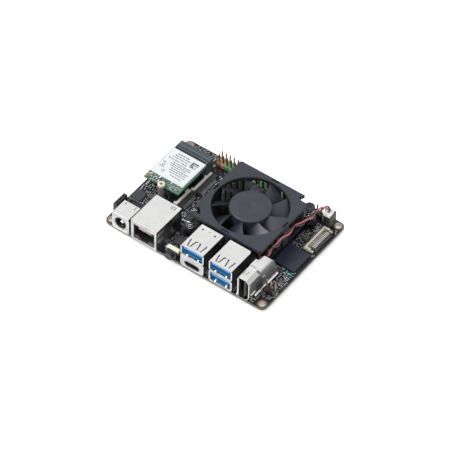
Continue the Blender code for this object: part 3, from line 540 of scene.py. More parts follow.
MASK = solder_mask("board_mask", (0.0055, 0.0065, 0.0105), (0.0125, 0.0145, 0.0195))
CARD_MASK = solder_mask("card_mask", (0.035, 0.11, 0.07), (0.08, 0.2, 0.14), 0.25)
EDGE = laminate("cut_edge")
GOLD = bare_metal("gold_flash", (0.55, 0.42, 0.26), 0.34)
BRONZE_PAD = bare_metal("pad_ring", (0.55, 0.46, 0.39), 0.45)
PAD_RIM = bare_metal("pad_rim", (0.17, 0.12, 0.1), 0.5)
DARK_TUBE = bare_metal("tube_metal", (0.16, 0.16, 0.17), 0.4)
CONTACT_PALE = moulded("contact_leaf", (0.9, 0.7, 0.64), 0.25, 0.3, 0.2, 0.01, 0.1, 0.4)
SOLDER = bare_metal("solder", (0.8, 0.81, 0.84), 0.3)
PIN_TIN = bare_metal("pin_plating", (0.74, 0.72, 0.68), 0.22)
PIN_BRONZE = bare_metal("header_pin", (0.36, 0.25, 0.18), 0.34)
SPRING = bare_metal("spring_wire", (0.62, 0.62, 0.64), 0.2)
INK = printed("silk_ink", (0.72, 0.73, 0.72))
PAPER = printed("label_paper", (0.66, 0.7, 0.71), 0.5)
PRINT_GREY = printed("label_print", (0.07, 0.072, 0.085))
PRINT_PALE = printed("label_print_pale", (0.13, 0.135, 0.16))
TIN = sheet_metal("tin_plate", (0.83, 0.825, 0.82), 0.2, dirt=0.07)
# A darker copy of the tin plate for the upright faces of the shells: painted shade on the sides.
TIN_SHADED_SIDE = sheet_metal("tin_plate_painted_shade_side", (0.56, 0.56, 0.57), 0.26, (14, 14, 1), 0.5)
PAD_TIN = bare_metal("test_pad", (0.42, 0.4, 0.37), 0.4)
# A darker copy of the tin plate with strong streaks, for the upright faces of the video socket's back:
# painted shade on the sides.
TIN_SATIN_SHADED = sheet_metal("tin_plate_satin_painted_shade", (0.55, 0.55, 0.57), 0.3, (14, 14, 1), 0.6, 0.2)
TIN_DULL = sheet_metal("tin_plate_dull", (0.68, 0.67, 0.65), 0.34, (14, 1, 14))
STEEL = bare_metal("steel", (0.55, 0.55, 0.56), 0.25)
BRASS = bare_metal("sintered_brass", (0.55, 0.38, 0.18), 0.4)
BLACK = moulded("black_nylon", (0.014, 0.014, 0.016), 0.42)
BLACK_SATIN = moulded("black_satin", (0.02, 0.02, 0.023), 0.34, 0.4, 0.3)
CHARCOAL = moulded("fan_charcoal", (0.027, 0.03, 0.045), 0.52, 0.22, 0.6, 0.04, 0.1)
ROTOR = moulded("rotor_charcoal", (0.028, 0.028, 0.044), 0.36, 0.22, 0.4, 0.03, 0.1, 0.1)
SLATE = moulded("slate_nylon", (0.072, 0.092, 0.11), 0.4, 0.35, 0.4)
BLUE = moulded("blue_insulator", (0.035, 0.215, 0.48), 0.32, 0.5, 0.25, 0.02, 0.15, 0.2)
CREAM_BRIGHT = moulded("button_cream", (0.9, 0.87, 0.77), 0.4, 0.3, 0.3, 0.02, 0.06)
CREAM = moulded("cream_nylon", (0.66, 0.62, 0.5), 0.42, 0.3, 0.3, 0.02, 0.08)
WHITE = moulded("white_nylon", (0.78, 0.77, 0.73), 0.38, 0.3, 0.3, 0.02, 0.06)
BROWN = moulded("brown_nylon", (0.035, 0.032, 0.028), 0.4, 0.3, 0.4)
OLIVE = moulded("olive_nylon", (0.1, 0.105, 0.085), 0.4, 0.3, 0.4)
EPOXY = epoxy("chip_epoxy", (0.018, 0.019, 0.022))
EPOXY_BLUE = epoxy("memory_epoxy", (0.016, 0.02, 0.042), 0.36)
EPOXY_GREY = epoxy("port_epoxy", (0.062, 0.055, 0.06), 0.5)
EPOXY_SLATE = epoxy("power_epoxy", (0.034, 0.037, 0.056), 0.4)
FERRITE = epoxy("ferrite", (0.075, 0.075, 0.08), 0.55)
CERAMIC = epoxy("ceramic_tan", (0.17, 0.145, 0.13), 0.4)
POST_GREY = moulded("dark_post", (0.2, 0.195, 0.19), 0.3, 0.3, 0.2, 0.01, 0.1, 0.3)
SCREW_CREAM = moulded("screw_plating", (0.72, 0.68, 0.52), 0.4, 0.3, 0.2, 0.02, 0.06)
CREAM_GREY = moulded("socket_grey", (0.82, 0.8, 0.74), 0.42, 0.3, 0.3, 0.02, 0.08)
ANODISED = moulded("anodised", (0.009, 0.009, 0.011), 0.34, 0.18, 0.3, 0.02, 0.15)
MOTOR_GREEN = solder_mask("motor_mask", (0.012, 0.07, 0.04), (0.02, 0.1, 0.06))
PAD_PUTTY = moulded("thermal_putty", (0.32, 0.36, 0.4), 0.75, 0.5, 0.6)
LAMP = moulded("lamp_resin", (0.1, 0.5, 0.46), 0.25, 0.5, 0.2, 0.01, 0.1, 0.3)
WIRE_RED = moulded("red_insulation", (0.42, 0.1, 0.11), 0.2, 0.6, 0.25, 0.02, 0.14, 0.6)
WIRE_BLACK = moulded("black_insulation", (0.05, 0.02, 0.024), 0.2, 0.6, 0.25, 0.02, 0.2, 0.2)
COPPER_WIRE = bare_metal("copper_winding", (0.6, 0.28, 0.13), 0.3, 0.15)


# ---- board ----------------------------------------------------------------

SIGNS = (-1, 1)
CORNERS = ((-1, -1), (1, -1), (1, 1), (-1, 1))
QUARTERS = (0, 90, 180, 270)
PRINT_LEVELS = (-0.01, 0.02)  # heights of the underside and the top of the board's ink and via rings
ETHERNET_TAILS = [(x, 9.0, 0.3, 1.6) for x in (-7.8, 7.8)]
ETHERNET_PEGS = [(x, 13.0, 2.4, 2.4) for x in (-5.1, 5.1)]
USB_TAILS = [(side * 6.475, y, 0.25, 1.6) for side in SIGNS for y in (4.0, 12.5)]
VIDEO_TAILS = [(side * 3.0, y, 0.25, 1.6) for side in SIGNS for y in (3.0, 14.0)]
JACK_SHELL_TAILS = [(side * 4.8, 4.0, 0.25, 1.6) for side in SIGNS]
JACK_HOUSING_TAILS = [(0.0, 7.0, 2.0, 0.8), (0.0, 12.8, 2.0, 0.8)]
PIN_WIDTH = 0.64


def spread(count, step):
    """Places in a row about zero."""
    return [(k - (count - 1) / 2) * step for k in range(count)]


def header_pins(columns, rows, turned=False):
    places = [(x, y) for x in spread(columns, PITCH) for y in spread(rows, PITCH)]
    return [(y, x, PIN_WIDTH, PIN_WIDTH) if turned else (x, y, PIN_WIDTH, PIN_WIDTH) for x, y in places]


ALL_TAILS = (
    (ETHERNET, ETHERNET_TAILS + ETHERNET_PEGS),
    (USB_LEFT, USB_TAILS),
    (USB_RIGHT, USB_TAILS),
    (VIDEO, VIDEO_TAILS),
    (JACK, JACK_SHELL_TAILS + JACK_HOUSING_TAILS),
    (GPIO, header_pins(20, 2)),
    (DEBUG, header_pins(3, 1)),
    (SERVICE, header_pins(3, 1)),
    (POWER_HEADER, header_pins(3, 1, True)),
    (PLUG, header_pins(2, 1, True)),
)


def around(x, y, half_x, half_y, low, high):
    """The six numbers of a box about a point of the plan."""
    return (x - half_x, y - half_y, low, x + half_x, y + half_y, high)


def pairs(x, half, *spans):
    """Boxes about -x and x, as six numbers each, for every span of (front, low, back, high)."""
    return [
        (side * x - half, front, low, side * x + half, back, high)
        for side in SIGNS
        for front, low, back, high in spans
    ]


def ring(inner, outer, low, high, sides=48, at=(0, 0)):
    """A flat ring, square in section."""
    return turned(((inner, low), (outer, low), (outer, high), (inner, high)), sides, True, at)


def tails(places, top):
    """The square legs through the board, from places given as (x, y, width, depth)."""
    return boxes(*(around(x, y, width / 2, depth / 2, TAIL_TIP, top) for x, y, width, depth in places))


def board():
    holes = [rod((x, y, -4), 8, HOLE_RADIUS + 0.02) for x, y in HOLES]
    holes += [rod((pin.x, pin.y, -4), 8, PUSH_PIN_HOLE) for pin in PUSH_PINS.values()]
    plate = prism(rounded_rectangle(BOARD[0], BOARD[1], BOARD_CORNER), -BOARD[2], 0)
    put("board_plate", MASK, plate, [holes], nodes=["main_board"], slot="solder_mask", bevel=0.08, side=EDGE)
    pads = []
    for x, y in HOLES:
        for low, high in ((-BOARD[2] - 0.05, -BOARD[2] + 0.01), (-0.01, 0.05)):
            pads.append(ring(HOLE_RADIUS, PAD_STEP, low, high, at=(x, y)))
            draw(ring(PAD_STEP, PAD_RADIUS, low + 0.01, high - 0.01, at=(x, y)), pot("pad_rims"))
        pads.append(ring(HOLE_RADIUS - 0.04, HOLE_RADIUS, -1.62, 0.03, at=(x, y)))
        for k in range(12):
            a = 2 * math.pi * k / 12
            spot = (x + 2.5 * math.cos(a), y + 2.5 * math.sin(a), 0.03)
            add_rod(pot("via_holes"), spot, 0.02, 0.13, sides=10)
    put("hole_pads", BRONZE_PAD, pads, slot="solder_mask", bevel=0.02)


def solder_joints():
    """A fillet round each tail on the underside, and a tinned land round it on the top."""
    bottom = -BOARD[2]
    for place, group in ALL_TAILS:
        for x, y, width, depth in group:
            x, y = place.x + x, place.y + y
            reach = min(1.0, 0.35 + max(width, depth) / 2)
            rings = [
                [(x + sx * (width / 2 + more), y + sy * (depth / 2 + more), z) for sx, sy in CORNERS]
                for more, z in ((0.45, bottom + 0.01), (0.05, bottom - reach))
            ]
            add_rings(pot("solder_joints"), rings)
            land = around(x, y, width / 2 + 0.55, depth / 2 + 0.55, -0.005, 0.02)
            draw(boxes(land), pot("hole_lands"))


# ---- connectors -----------------------------------------------------------


def slanted_slit(bm, front, back, top, width=0.62):
    """A slit cut down through a shell's top between two plan points."""
    a, b = Vector((*front, 0)), Vector((*back, 0))
    side = (b - a).normalized().cross(UP) * width / 2
    corners = (a - side, b - side, b + side, a + side)
    add_prism(bm, [(c.x, c.y) for c in corners], top - 1.2, top + 1)


slit = shape_of(slanted_slit)
TOP_SLITS = (
    ((-4.0, 1.4), (-4.95, 6.2)), ((-2.5, 1.4), (-1.7, 6.2)), ((1.7, 1.4), (0.8, 6.2)),
    ((3.8, 1.4), (4.6, 6.2)), ((-1.7, 6.0), (-0.8, 6.0)), ((0.8, 6.0), (0.1, 6.0)),
    ((-4.0, 1.5), (-3.4, 1.5)), ((4.6, 6.0), (4.1, 6.2)),
)


def ethernet_socket():
    shell = boxes((-8, 0, 0.05, 8, 21.3, 13.4))
    hollow = boxes((-7.65, 0.35, -1, 7.65, 20.95, 13.05))
    window = prism(rounded_rectangle(12.9, 9.8, 0.3, 4, (0.2, 6.2)), -1, 1, "Y")
    features = [
        boxes(*tab_slits(side * 8 - 0.6, side * 8 + 0.6, 1.6, 6.0, low, 1.9, 0.22, (5.8, 6.0)))
        for side in SIGNS
        for low in (4.4, 9.0)
    ]
    features += [
        boxes(
            (3.2, 18.1, 12.6, 5.8, 18.42, 14),
            (5.48, 18.2, 12.6, 5.8, 20.0, 14),
            (3.2, 19.68, 12.6, 5.7, 20.0, 14),
            (3.2, 18.9, 12.6, 4.4, 19.2, 14),
            (-7.9, 20.62, 13.3, 7.9, 20.7, 14),
        )
    ]
    put("network_shell", TIN, shell, [hollow, window, features], at=ETHERNET, nodes=["ethernet_shell"],
        slot="plated_steel", bevel=0.12, side=TIN_SHADED_SIDE)
    put("network_shell_tails", PIN_TIN, tails(ETHERNET_TAILS, 3), at=ETHERNET, slot="plated_steel")

    # Sprung tabs beside the mouth and the folded seam on each side.
    springs = [
        boxes(
            *((side * 8.0 - 0.12, 1.8, z, side * 8.0 + 0.12, 5.7, z + 1.66) for z in (4.62, 9.22)),
            (side * 7.98 - 0.05, 12.0, 3.0, side * 7.98 + 0.05, 14.0, 6.5),
        )
        for side in SIGNS
    ]
    put("network_shell_springs", TIN_DULL, springs, at=ETHERNET, slot="plated_steel", bevel=0.06)

    insert = boxes((-7.45, 0.5, 0.1, 7.45, 20.7, 12.9))
    cavity = boxes((-6.15, -1, 3.4, 6.45, 11.5, 10.9))
    latch = boxes((-3.1, -1, 2.2, 3.1, 11, 5))
    groove = boxes((-1.7, -1, 1.6, 1.7, 10.5, 3.5))
    put("network_insert", BLACK, insert, [cavity, latch, groove], at=ETHERNET, nodes=["ethernet_insert"],
        slot="black_plastic", bevel=0.1)
    combs = [
        boxes((x - 0.2, 1.6, 10.0, x + 0.2, 11.6, 10.95), (x - 0.2, 9.2, 6.0, x + 0.2, 11.6, 10.5))
        for x in spread(9, 1.02)
    ]
    combs += [boxes(*pairs(5.0, 0.9, (0.42, 11.2, 0.62, 12.5)))]
    put("network_insert_combs", BLACK_SATIN, combs, at=ETHERNET, slot="black_plastic", bevel=0.04)
    curve = ((1.0, 10.5), (1.2, 9.0), (1.9, 7.2), (3.2, 5.9), (6.0, 5.6), (9.0, 6.6), (11.3, 10.3))
    contacts = [tube(smooth_path([(x, y, z) for y, z in curve], 26), 0.22, 8) for x in spread(8, 1.02)]
    put("network_contacts", CONTACT_PALE, contacts, at=ETHERNET, slot="spring_steel")
    pegs = [rod((x, y, TAIL_TIP), 2.6, width / 2) for x, y, width, _ in ETHERNET_PEGS]
    put("network_pegs", BLACK, pegs, at=ETHERNET, slot="black_plastic", bevel=0.15)


def stack(name, place, node, lower_window, notch_heights, dimpled):
    """The folded cover of a two-high stack."""
    half, depth, height, wall = 6.65, 17.4, 14.8, 0.32
    spring_sides = (-3.3, 3.3)
    tab_heights = (2.2, 9.4)
    corner = 0.3 if dimpled else 1.3
    outline = [(-half, 0), (half, 0), (half, depth - corner), (half - corner * 0.3, depth - corner * 0.3)]
    cover = prism(outline + [(half - corner, depth), (-half, depth)], 0.05, height)
    hollow = boxes(
        (-half + wall, wall, -1, half - wall - 0.3, depth - wall - 0.3, height - wall),
        (-half + wall, wall, -1, half - wall, depth - 2.0, height - wall),
    )
    mouth = prism(rounded_rectangle(12.7, 5.65, 0.3, 4, (0, 11.72)), -1, 1, "Y")
    features = [slit(front, back, height) for front, back in TOP_SLITS]
    for side in SIGNS:
        near, away = side * half - 0.7, side * half + 0.7
        for low in tab_heights:
            features.append(boxes(*tab_slits(near, away, 1.5, 6.6, low, 3.0, 0.26, (1.5, 1.74))))
        features.append(boxes((near, 12.2, 6.6, away, 14.6, 6.85)))
    notches = [(x - 0.8, -1, z - 0.55, x + 0.8, 1, z + 0.3) for z in notch_heights for x in spring_sides]
    features.append(boxes(*notches))
    if dimpled:
        spots = ((-4.15, 14.6, 0.5), (-0.2, 15.1, 0.32), (3.45, 14.5, 0.55))
        dents = [rod((x, y, height - 1), 2, radius, sides=20) for x, y, radius in spots]
    else:
        spots = ((-1.9, 9.5), (-1.3, 9.0), (-0.7, 9.4), (-1.3, 8.4), (-0.8, 8.8))
        dents = [rod((x, y, height - 0.12), 2, 0.2, sides=12) for x, y in spots]
    dents.append(boxes((-half - 1, depth - 1.1, height - 0.04, half + 1, depth - 1.03, height + 1)))
    put(name, TIN, cover, [hollow, mouth, lower_window, features, dents], at=place, nodes=[node],
        slot="plated_steel", bevel=0.1, side=TIN_SHADED_SIDE)

    # A black sheet just under the top: painted shade for the dark inside, seen through the slits of the top.
    lining = boxes((-half + 0.4, 1.0, 14.17, half - 0.6, depth - 1.0, 14.27))
    put(name + "_painted_shade_sheet", BLACK, lining, at=place, slot="black_plastic", bevel=0.03)

    curve = ((0.1, -0.55), (0.7, -0.1), (1.6, 0.25), (3.2, 0.55), (4.4, 0.35), (5.6, -0.1))
    springs = [
        strip([(x, y, z + h) for y, h in curve], 0.8, 0.16) for z in notch_heights for x in spring_sides
    ]
    curve = ((5.9, -0.2), (4.4, -0.3), (3.0, -0.62), (1.9, -0.5))
    for first, last in ((-4.2, -2.4), (1.4, 4.1)):
        middle = (first + last) / 2
        springs.append(strip([(middle, y, height + h) for y, h in curve], last - first - 0.4, 0.16))
    for side in SIGNS:
        x, edge = side * (half - 0.42), side * half
        for low in tab_heights:
            springs.append(boxes(
                (x - 0.1, 1.9, low + 0.35, x + 0.1, 6.6, low + 2.9),
                (edge - 0.22, 12.3, 5.2, edge + 0.1, 14.5, 6.55),
            ))
    put(name + "_springs", TIN_DULL, springs, at=place, slot="plated_steel", bevel=0.04)

    rails = []
    for side in SIGNS:
        near, away = sorted((side * (half - 0.05), side * (half - 0.05) + side * 0.45))
        rails.append(boxes((near, 0.0, 8.7, away, 0.3, 14.3), (near, 0.0, 1.2, away, 0.3, 6.9)))
    put(name + "_rails", TIN, rails, at=place, slot="plated_steel", bevel=0.08)
    put(name + "_tails", PIN_TIN, tails(USB_TAILS, 2), at=place, slot="plated_steel")


def port_tongue(name, place, node, low, high, under):
    """The blue insulator with its contacts; under is the height of the tongue's underside."""
    four, five = spread(4, 2.4), spread(5, 2.0)
    block = boxes((-6.15, 12.5, low, 6.15, 16.9, high))
    tongue = boxes((-5.6, 0.7, under, 5.6, 13, under + 1.95))
    grooves = boxes(
        *((x - 0.62, 1.0, under - 0.3, x + 0.62, 9.5, under + 0.22) for x in four),
        *((x - 0.35, 1.9, under + 1.66, x + 0.35, 12.0, under + 3) for x in five),
    )
    put(name, BLUE, block, [grooves], [tongue], place, nodes=[node], slot="blue_plastic", bevel=0.14)
    curve = ((1.8, 0.1), (2.6, -0.2), (9.2, -0.02))
    contacts = [strip([(x, y, under + h) for y, h in curve], 1.0, 0.15) for x in four]
    contacts += [strip([(x, 2.6, under + 1.7), (x, 9.5, under + 1.72)], 0.55, 0.12) for x in five]
    put(name + "_contacts", GOLD, contacts, at=place, slot="spring_steel", bevel=0.03)
    floor = under - 3.0
    lining = boxes(
        *pairs(6.1, 0.1, (0.6, floor, 12.6, floor + 4.75)),
        (-6.1, 0.6, floor, 6.1, 12.6, floor + 0.18),
        (-6.1, 9.5, floor, 6.1, 12.6, floor + 4.75),
    )
    put(name + "_cheeks", BLUE, lining, at=place, slot="blue_plastic", bevel=0.05)


def usb_stacks():
    wide_window = prism(rounded_rectangle(12.2, 5.3, 0.35, 4, (0, 4.15)), -1, 1, "Y")
    marks = boxes((-3.9, -1, 5.6, -3.65, 1, 6.7), (-0.6, -1, 6.2, 1.5, 1, 6.42), (1.3, -1, 5.4, 1.52, 1, 6.3))
    oval_window = [prism(obround(4.75, 1.85, 3.1), -1, 1, "Y"), marks]
    stack("usb_left_cover", USB_LEFT, "usb_left_shell", oval_window, (8.9,), True)
    stack("usb_right_cover", USB_RIGHT, "usb_right_shell", wide_window, (8.9, 1.5), False)
    for name, place, node, low, high, under in (
        ("usb_left_insulator", USB_LEFT, "usb_left_tongue", 7.5, 13.98, 12.2),
        ("usb_right_insulator_upper", USB_RIGHT, "usb_right_upper_tongue", 7.5, 13.98, 12.2),
        ("usb_right_insulator_lower", USB_RIGHT, "usb_right_lower_tongue", 0.2, 7.3, 4.25),
    ):
        port_tongue(name, place, node, low, high, under)
    small_tube = prism(obround(4.5, 1.6, 3.1), 0.05, 11.9, "Y")
    bore = prism(obround(4.2, 1.3, 3.1), -1, 13, "Y")
    put("usb_small_tube", DARK_TUBE, small_tube, [bore], at=USB_LEFT, nodes=["usb_small_shell"],
        slot="plated_steel", bevel=0.06)
    block = boxes((-6.15, 12.3, 0.2, 6.15, 16.9, 7.3))
    tongue = prism(obround(3.35, 0.33, 3.1, 5), 1.0, 13, "Y")
    put("usb_small_insulator", BLACK, block, joins=[tongue], at=USB_LEFT, nodes=["usb_small_tongue"],
        slot="black_plastic", bevel=0.06)
    contacts = boxes(
        *((x - 0.13, 1.6, z, x + 0.13, 6.0, z + 0.08) for x in spread(12, 0.5) for z in (2.72, 3.4))
    )
    put("usb_small_contacts", GOLD, contacts, at=USB_LEFT, slot="spring_steel")


def video_socket():
    depth = 19.0
    bulge = 5.6
    bulge_left = -0.9
    bulge_low = 2.7
    top = 15.0
    steps = 24
    above = 20
    beyond = depth + bulge + 5

    def outline(inset):
        left, right = -3.2 + inset, 3.2 - inset
        low, high = 0.3 + inset, 14.9 - inset
        slope = 2.1 - 0.4 * inset
        return [
            (left, low), (right - slope + 0.3, low), (right, low + slope),
            (right, high - slope), (right - slope + 0.3, high), (left, high),
        ]

    def beside(spare):
        """What is missing on the left: the space beside the bulge, and a step in the top."""
        return boxes(
            (-8, depth - spare, -1, bulge_left, beyond, above),
            (-8, 14.9 - spare, 12.6 - spare, bulge_left - 0.4 + spare, beyond, above),
        )

    # The back's curve in YZ, from the foot of the bulge up to the top edge.
    curve = [
        (depth + bulge * k / steps, bulge_low + (top - bulge_low) * (1 - (k / steps) ** 1.6))
        for k in range(steps, -1, -1)
    ]
    behind = prism(curve + [(depth, above), (beyond, above), (beyond, bulge_low)], -8, 8, "X")
    # The inner sheet stays a little smaller, so that its faces lie under the outer one's.
    spare = 0.12
    shell = prism(outline(0), 0, depth - spare, "Y")
    hollow = prism(outline(0.35), -1, 14.6, "Y")
    features = [
        boxes(*tab_slits(2.6, 4, y, y + 3.8, z, 2.0, 0.24, (y, y + 0.24)))
        for z in (4.6, 9.6)
        for y in (3.2, 9.0)
    ]
    features += [
        boxes(
            (-2.9, 9.6, 14.1, -0.1, 10.15, 16),
            (1.1, 9.9, 11.8, 3.6, 10.3, 16),
            (-2.9, 3.0, 14.2, -2.66, 6.0, 16),
            (-1.1, 3.0, 14.2, -0.86, 6.0, 16),
            (-2.8, 3.0, 14.2, -1.0, 3.2, 16),
            (-4, 15.9, 14.84, 4, 16.0, 16),
        )
    ]
    put("video_cover", TIN, shell, [hollow, features, beside(spare)], at=VIDEO, nodes=["video_shell"],
        slot="plated_steel", bevel=0.14, side=TIN_SHADED_SIDE)

    # The back half without the slope at its right shoulder, and the bulge behind it.
    rear_outline = [(-3.35, top), (-3.35, 0.2), (3.45, 0.2), (3.45, 14.4), (2.95, top)]
    rear = prism(rear_outline, 9.3, depth + bulge, "Y")
    rear_slits = boxes(
        *((3.2, 17.2 + 1.3 * k, 8.2, 4, 17.5 + 1.3 * k, 9.6) for k in range(3)),
        (3.2, 10.8, 3.6, 4, 20.4, 3.85),
        (-2.9, 9.65, 14.2, -0.1, 10.1, 16),
        (-3.6, 14.1, 14.9, -1.2, 14.3, 16),
    )
    # Its upright faces take the darker streaked copy of the tin: painted shade.
    put("video_cover_rear", TIN, rear, [hollow, behind, beside(0.0), rear_slits], at=VIDEO,
        slot="plated_steel", bevel=0.12, side=TIN_SATIN_SHADED)

    # The folded leaves of the mouth, the foot strip, and the pressed marks on the right side.
    lips = [
        boxes(
            (-3.75, -0.1, 2.0, -3.3, 0.35, 13.6),
            (-4.15, -0.2, 1.2, -3.7, 0.1, 2.6),
            (-2.9, 0.0, 14.85, 1.0, 0.5, 15.0),
            (3.18, 0.0, 3.4, 3.45, 1.2, 11.6),
        ),
        prism([(2.9, 0.9), (4.2, 0.9), (4.2, 1.15), (3.3, 1.65)], 4.8, depth + bulge - 0.2, "Y"),
        rod((3.3, 12.2, 8.8), 0.5, 0.5, "X", 20),
        prism([(2.9, 3.6), (3.6, 3.7), (3.6, 3.8), (3.0, 4.4)], 2.0, 5.6, "Y"),
        prism([(3.0, 8.5), (3.6, 8.6), (3.6, 8.7), (3.0, 9.4)], 12.5, 13.5, "Y"),
    ]
    put("video_lips", TIN, lips, at=VIDEO, slot="plated_steel", bevel=0.08)
    put("video_tails", PIN_TIN, tails(VIDEO_TAILS, 3.4), at=VIDEO, slot="plated_steel")
    tongue = boxes((-0.5, 1.2, 2.0, 0.6, 13, 13.2))
    put("video_insulator", BLACK, prism(outline(0.5), 12, 14.5, "Y"), joins=[tongue], at=VIDEO,
        nodes=["video_insert"], slot="black_plastic", bevel=0.1)
    contacts = boxes(
        *((x, 1.8, 2.9 + k, x + 0.08, 8.0, 2.9 + k + 0.4) for k in range(10) for x in (-0.58, 0.6))
    )
    put("video_contacts", GOLD, contacts, at=VIDEO, slot="spring_steel")


def power_jack():
    height = 5.6
    shell = boxes((-5, 0, 0.05, 5, 10.1, 11))
    hollow = boxes((-4.65, 0.35, -1, 4.65, 12, 10.65))
    window = [
        rod((0, -1, height), 2, 3.6, "Y", 48),
        boxes(
            (-5.5, 1.8, 3.0, -4, 6.5, 3.24),
            (-5.5, 1.8, 7.2, -4, 6.5, 7.44),
            (-3.2, 7.4, 10.3, -2.96, 9.6, 12),
            (2.96, 7.4, 10.3, 3.2, 9.6, 12),
        ),
    ]
    put("jack_cover", TIN, shell, [hollow, window], at=JACK, nodes=["jack_shell"], slot="plated_steel",
        bevel=0.14, side=TIN_SHADED_SIDE)
    lips = boxes(
        (-5.35, 0.1, 0.6, -4.95, 0.4, 9.6),
        (4.95, 0.1, 0.6, 5.3, 0.4, 9.6),
        (-4.6, -0.12, 0.3, 4.6, 0.05, 1.5),
        *pairs(3.9, 0.5, (-0.1, 1.5, 0.05, 2.4)),
    )
    put("jack_lips", TIN_DULL, lips, at=JACK, slot="plated_steel", bevel=0.06)
    put("jack_tails", PIN_TIN, tails(JACK_SHELL_TAILS, 3), at=JACK, slot="plated_steel")
    bore = [rod((0, -1, height), 10.5, 3.05, "Y", 48), boxes((-3.4, 11.6, 8.4, 3.4, 13.6, 10))]
    put("jack_body", BLACK_SATIN, boxes((-4.5, 0.5, 0.1, 4.5, 14.6, 9.4)), [bore], at=JACK,
        nodes=["jack_housing"], slot="black_plastic", bevel=0.2)
    put("jack_body_tails", PIN_TIN, tails(JACK_HOUSING_TAILS, 1.5), at=JACK, slot="plated_steel")

    turns = [2 * math.pi * k / 48 for k in range(48)]
    rings = [
        [(radius * math.cos(a), y, height + radius * math.sin(a)) for a in turns]
        for radius, y in ((3.05, 0.15), (3.75, 0.15), (3.9, 0.5), (3.05, 0.5))
    ]
    put("jack_collar", BLACK, lambda bm: add_rings(bm, rings, True), at=JACK, slot="black_plastic")
    centre = [rod((0, 1.6, height), 10.4, 1.25, "Y", 32), rod((0, 1.2, height), 0.4, 0.8, "Y", 32, 1.25)]
    put("jack_centre_pin", PIN_TIN, centre, at=JACK, nodes=["jack_pin"], slot="spring_steel")
    leaf = strip([(0, 1.4, height - 3.0), (0, 4.0, height - 2.4), (0, 8.0, height - 2.9)], 1.6, 0.2)
    put("jack_leaf", PIN_TIN, leaf, at=JACK, slot="spring_steel", bevel=0.04)


def power_button():
    height = 2.45
    outline = [(-3.6, 2.0), (-3.15, 2.0), (-3.15, 4.35), (3.15, 4.35)]
    outline += [(3.15, 3.6), (3.6, 3.6), (3.6, 5.1), (-3.6, 5.1)]
    put("button_case", BLACK_SATIN, boxes((-3.0, 0.3, 0.05, 3.0, 4.4, 4.2)),
        [rod((0, -1, height), 4.6, 1.5, "Y")], at=BUTTON, nodes=["button_body"], slot="black_plastic",
        bevel=0.12)
    put("button_bridge", CREAM_BRIGHT, prism(outline, 1.4, 3.6, "Y"), [boxes((-0.9, 2.2, 4.6, 0.4, 2.6, 6))],
        at=BUTTON, nodes=["button_frame"], slot="cream_plastic", bevel=0.15)
    legs = [
        boxes(
            (side * 3.05 - 0.2, 3.7, 0.02, side * 3.05 + 0.2, 4.6, 1.4),
            (side * 3.7 - 0.5, 3.7, 0.02, side * 3.7 + 0.5, 4.6, 0.2),
        )
        for side in SIGNS
    ]
    put("button_legs", PIN_TIN, legs, at=BUTTON, slot="spring_steel", bevel=0.05)
    put("button_cap", BLACK, rod((0, 0, 0), 1.7, 2.3, "Y", 48), [rod((0, -1, 0), 1.12, 1.6, "Y", 40)],
        [rod((0, 1, 0), 3.9, 1.3, "Y")], BUTTON + Vector((0, -2.0, height)), "power_button",
        ["button_plunger"], "black_plastic", 0.3, 3)


def add_pin(bm, x, y, top, bottom=TAIL_TIP, half=PIN_WIDTH / 2, taper=0.55):
    """A square pin with pointed ends."""
    levels = ((bottom, half * 0.5), (bottom + taper, half), (top - taper, half), (top, half * 0.4))
    add_rings(bm, [[(x + sx * h, y + sy * h, z) for sx, sy in CORNERS] for z, h in levels])


square_pin = shape_of(add_pin)


def add_header_cell(bm, x, y, height=2.54, corner=0.45):
    """One way of a header: a block with cut corners."""
    h = PITCH / 2 - 0.02
    c = corner
    outline = [(h, h - c), (h - c, h), (c - h, h), (-h, h - c)]
    outline += [(-h, c - h), (c - h, -h), (h - c, -h), (h, c - h)]
    add_prism(bm, [(x + u, y + v) for u, v in outline], 0.1, height)


PIN_TOP = 8.5
CELL_COLOURS = {
    "peach": (0.52, 0.29, 0.2),
    "rust": (0.33, 0.15, 0.09),
    "yellow": (0.6, 0.45, 0.1),
    "green": (0.12, 0.33, 0.13),
    "mint": (0.3, 0.52, 0.33),
    "black": (0.02, 0.02, 0.022),
}
STRIP_COLOURS = {"brown": (0.07, 0.045, 0.035), "grey": (0.06, 0.06, 0.065), "black": (0.018, 0.018, 0.02)}
FRONT_ROW = (
    "rust peach green green green yellow mint green black mint "
    "green mint green black green mint green green black green"
)
BACK_ROW = (
    "peach rust green green mint green green black green green "
    "mint green black green green mint green green black green"
)


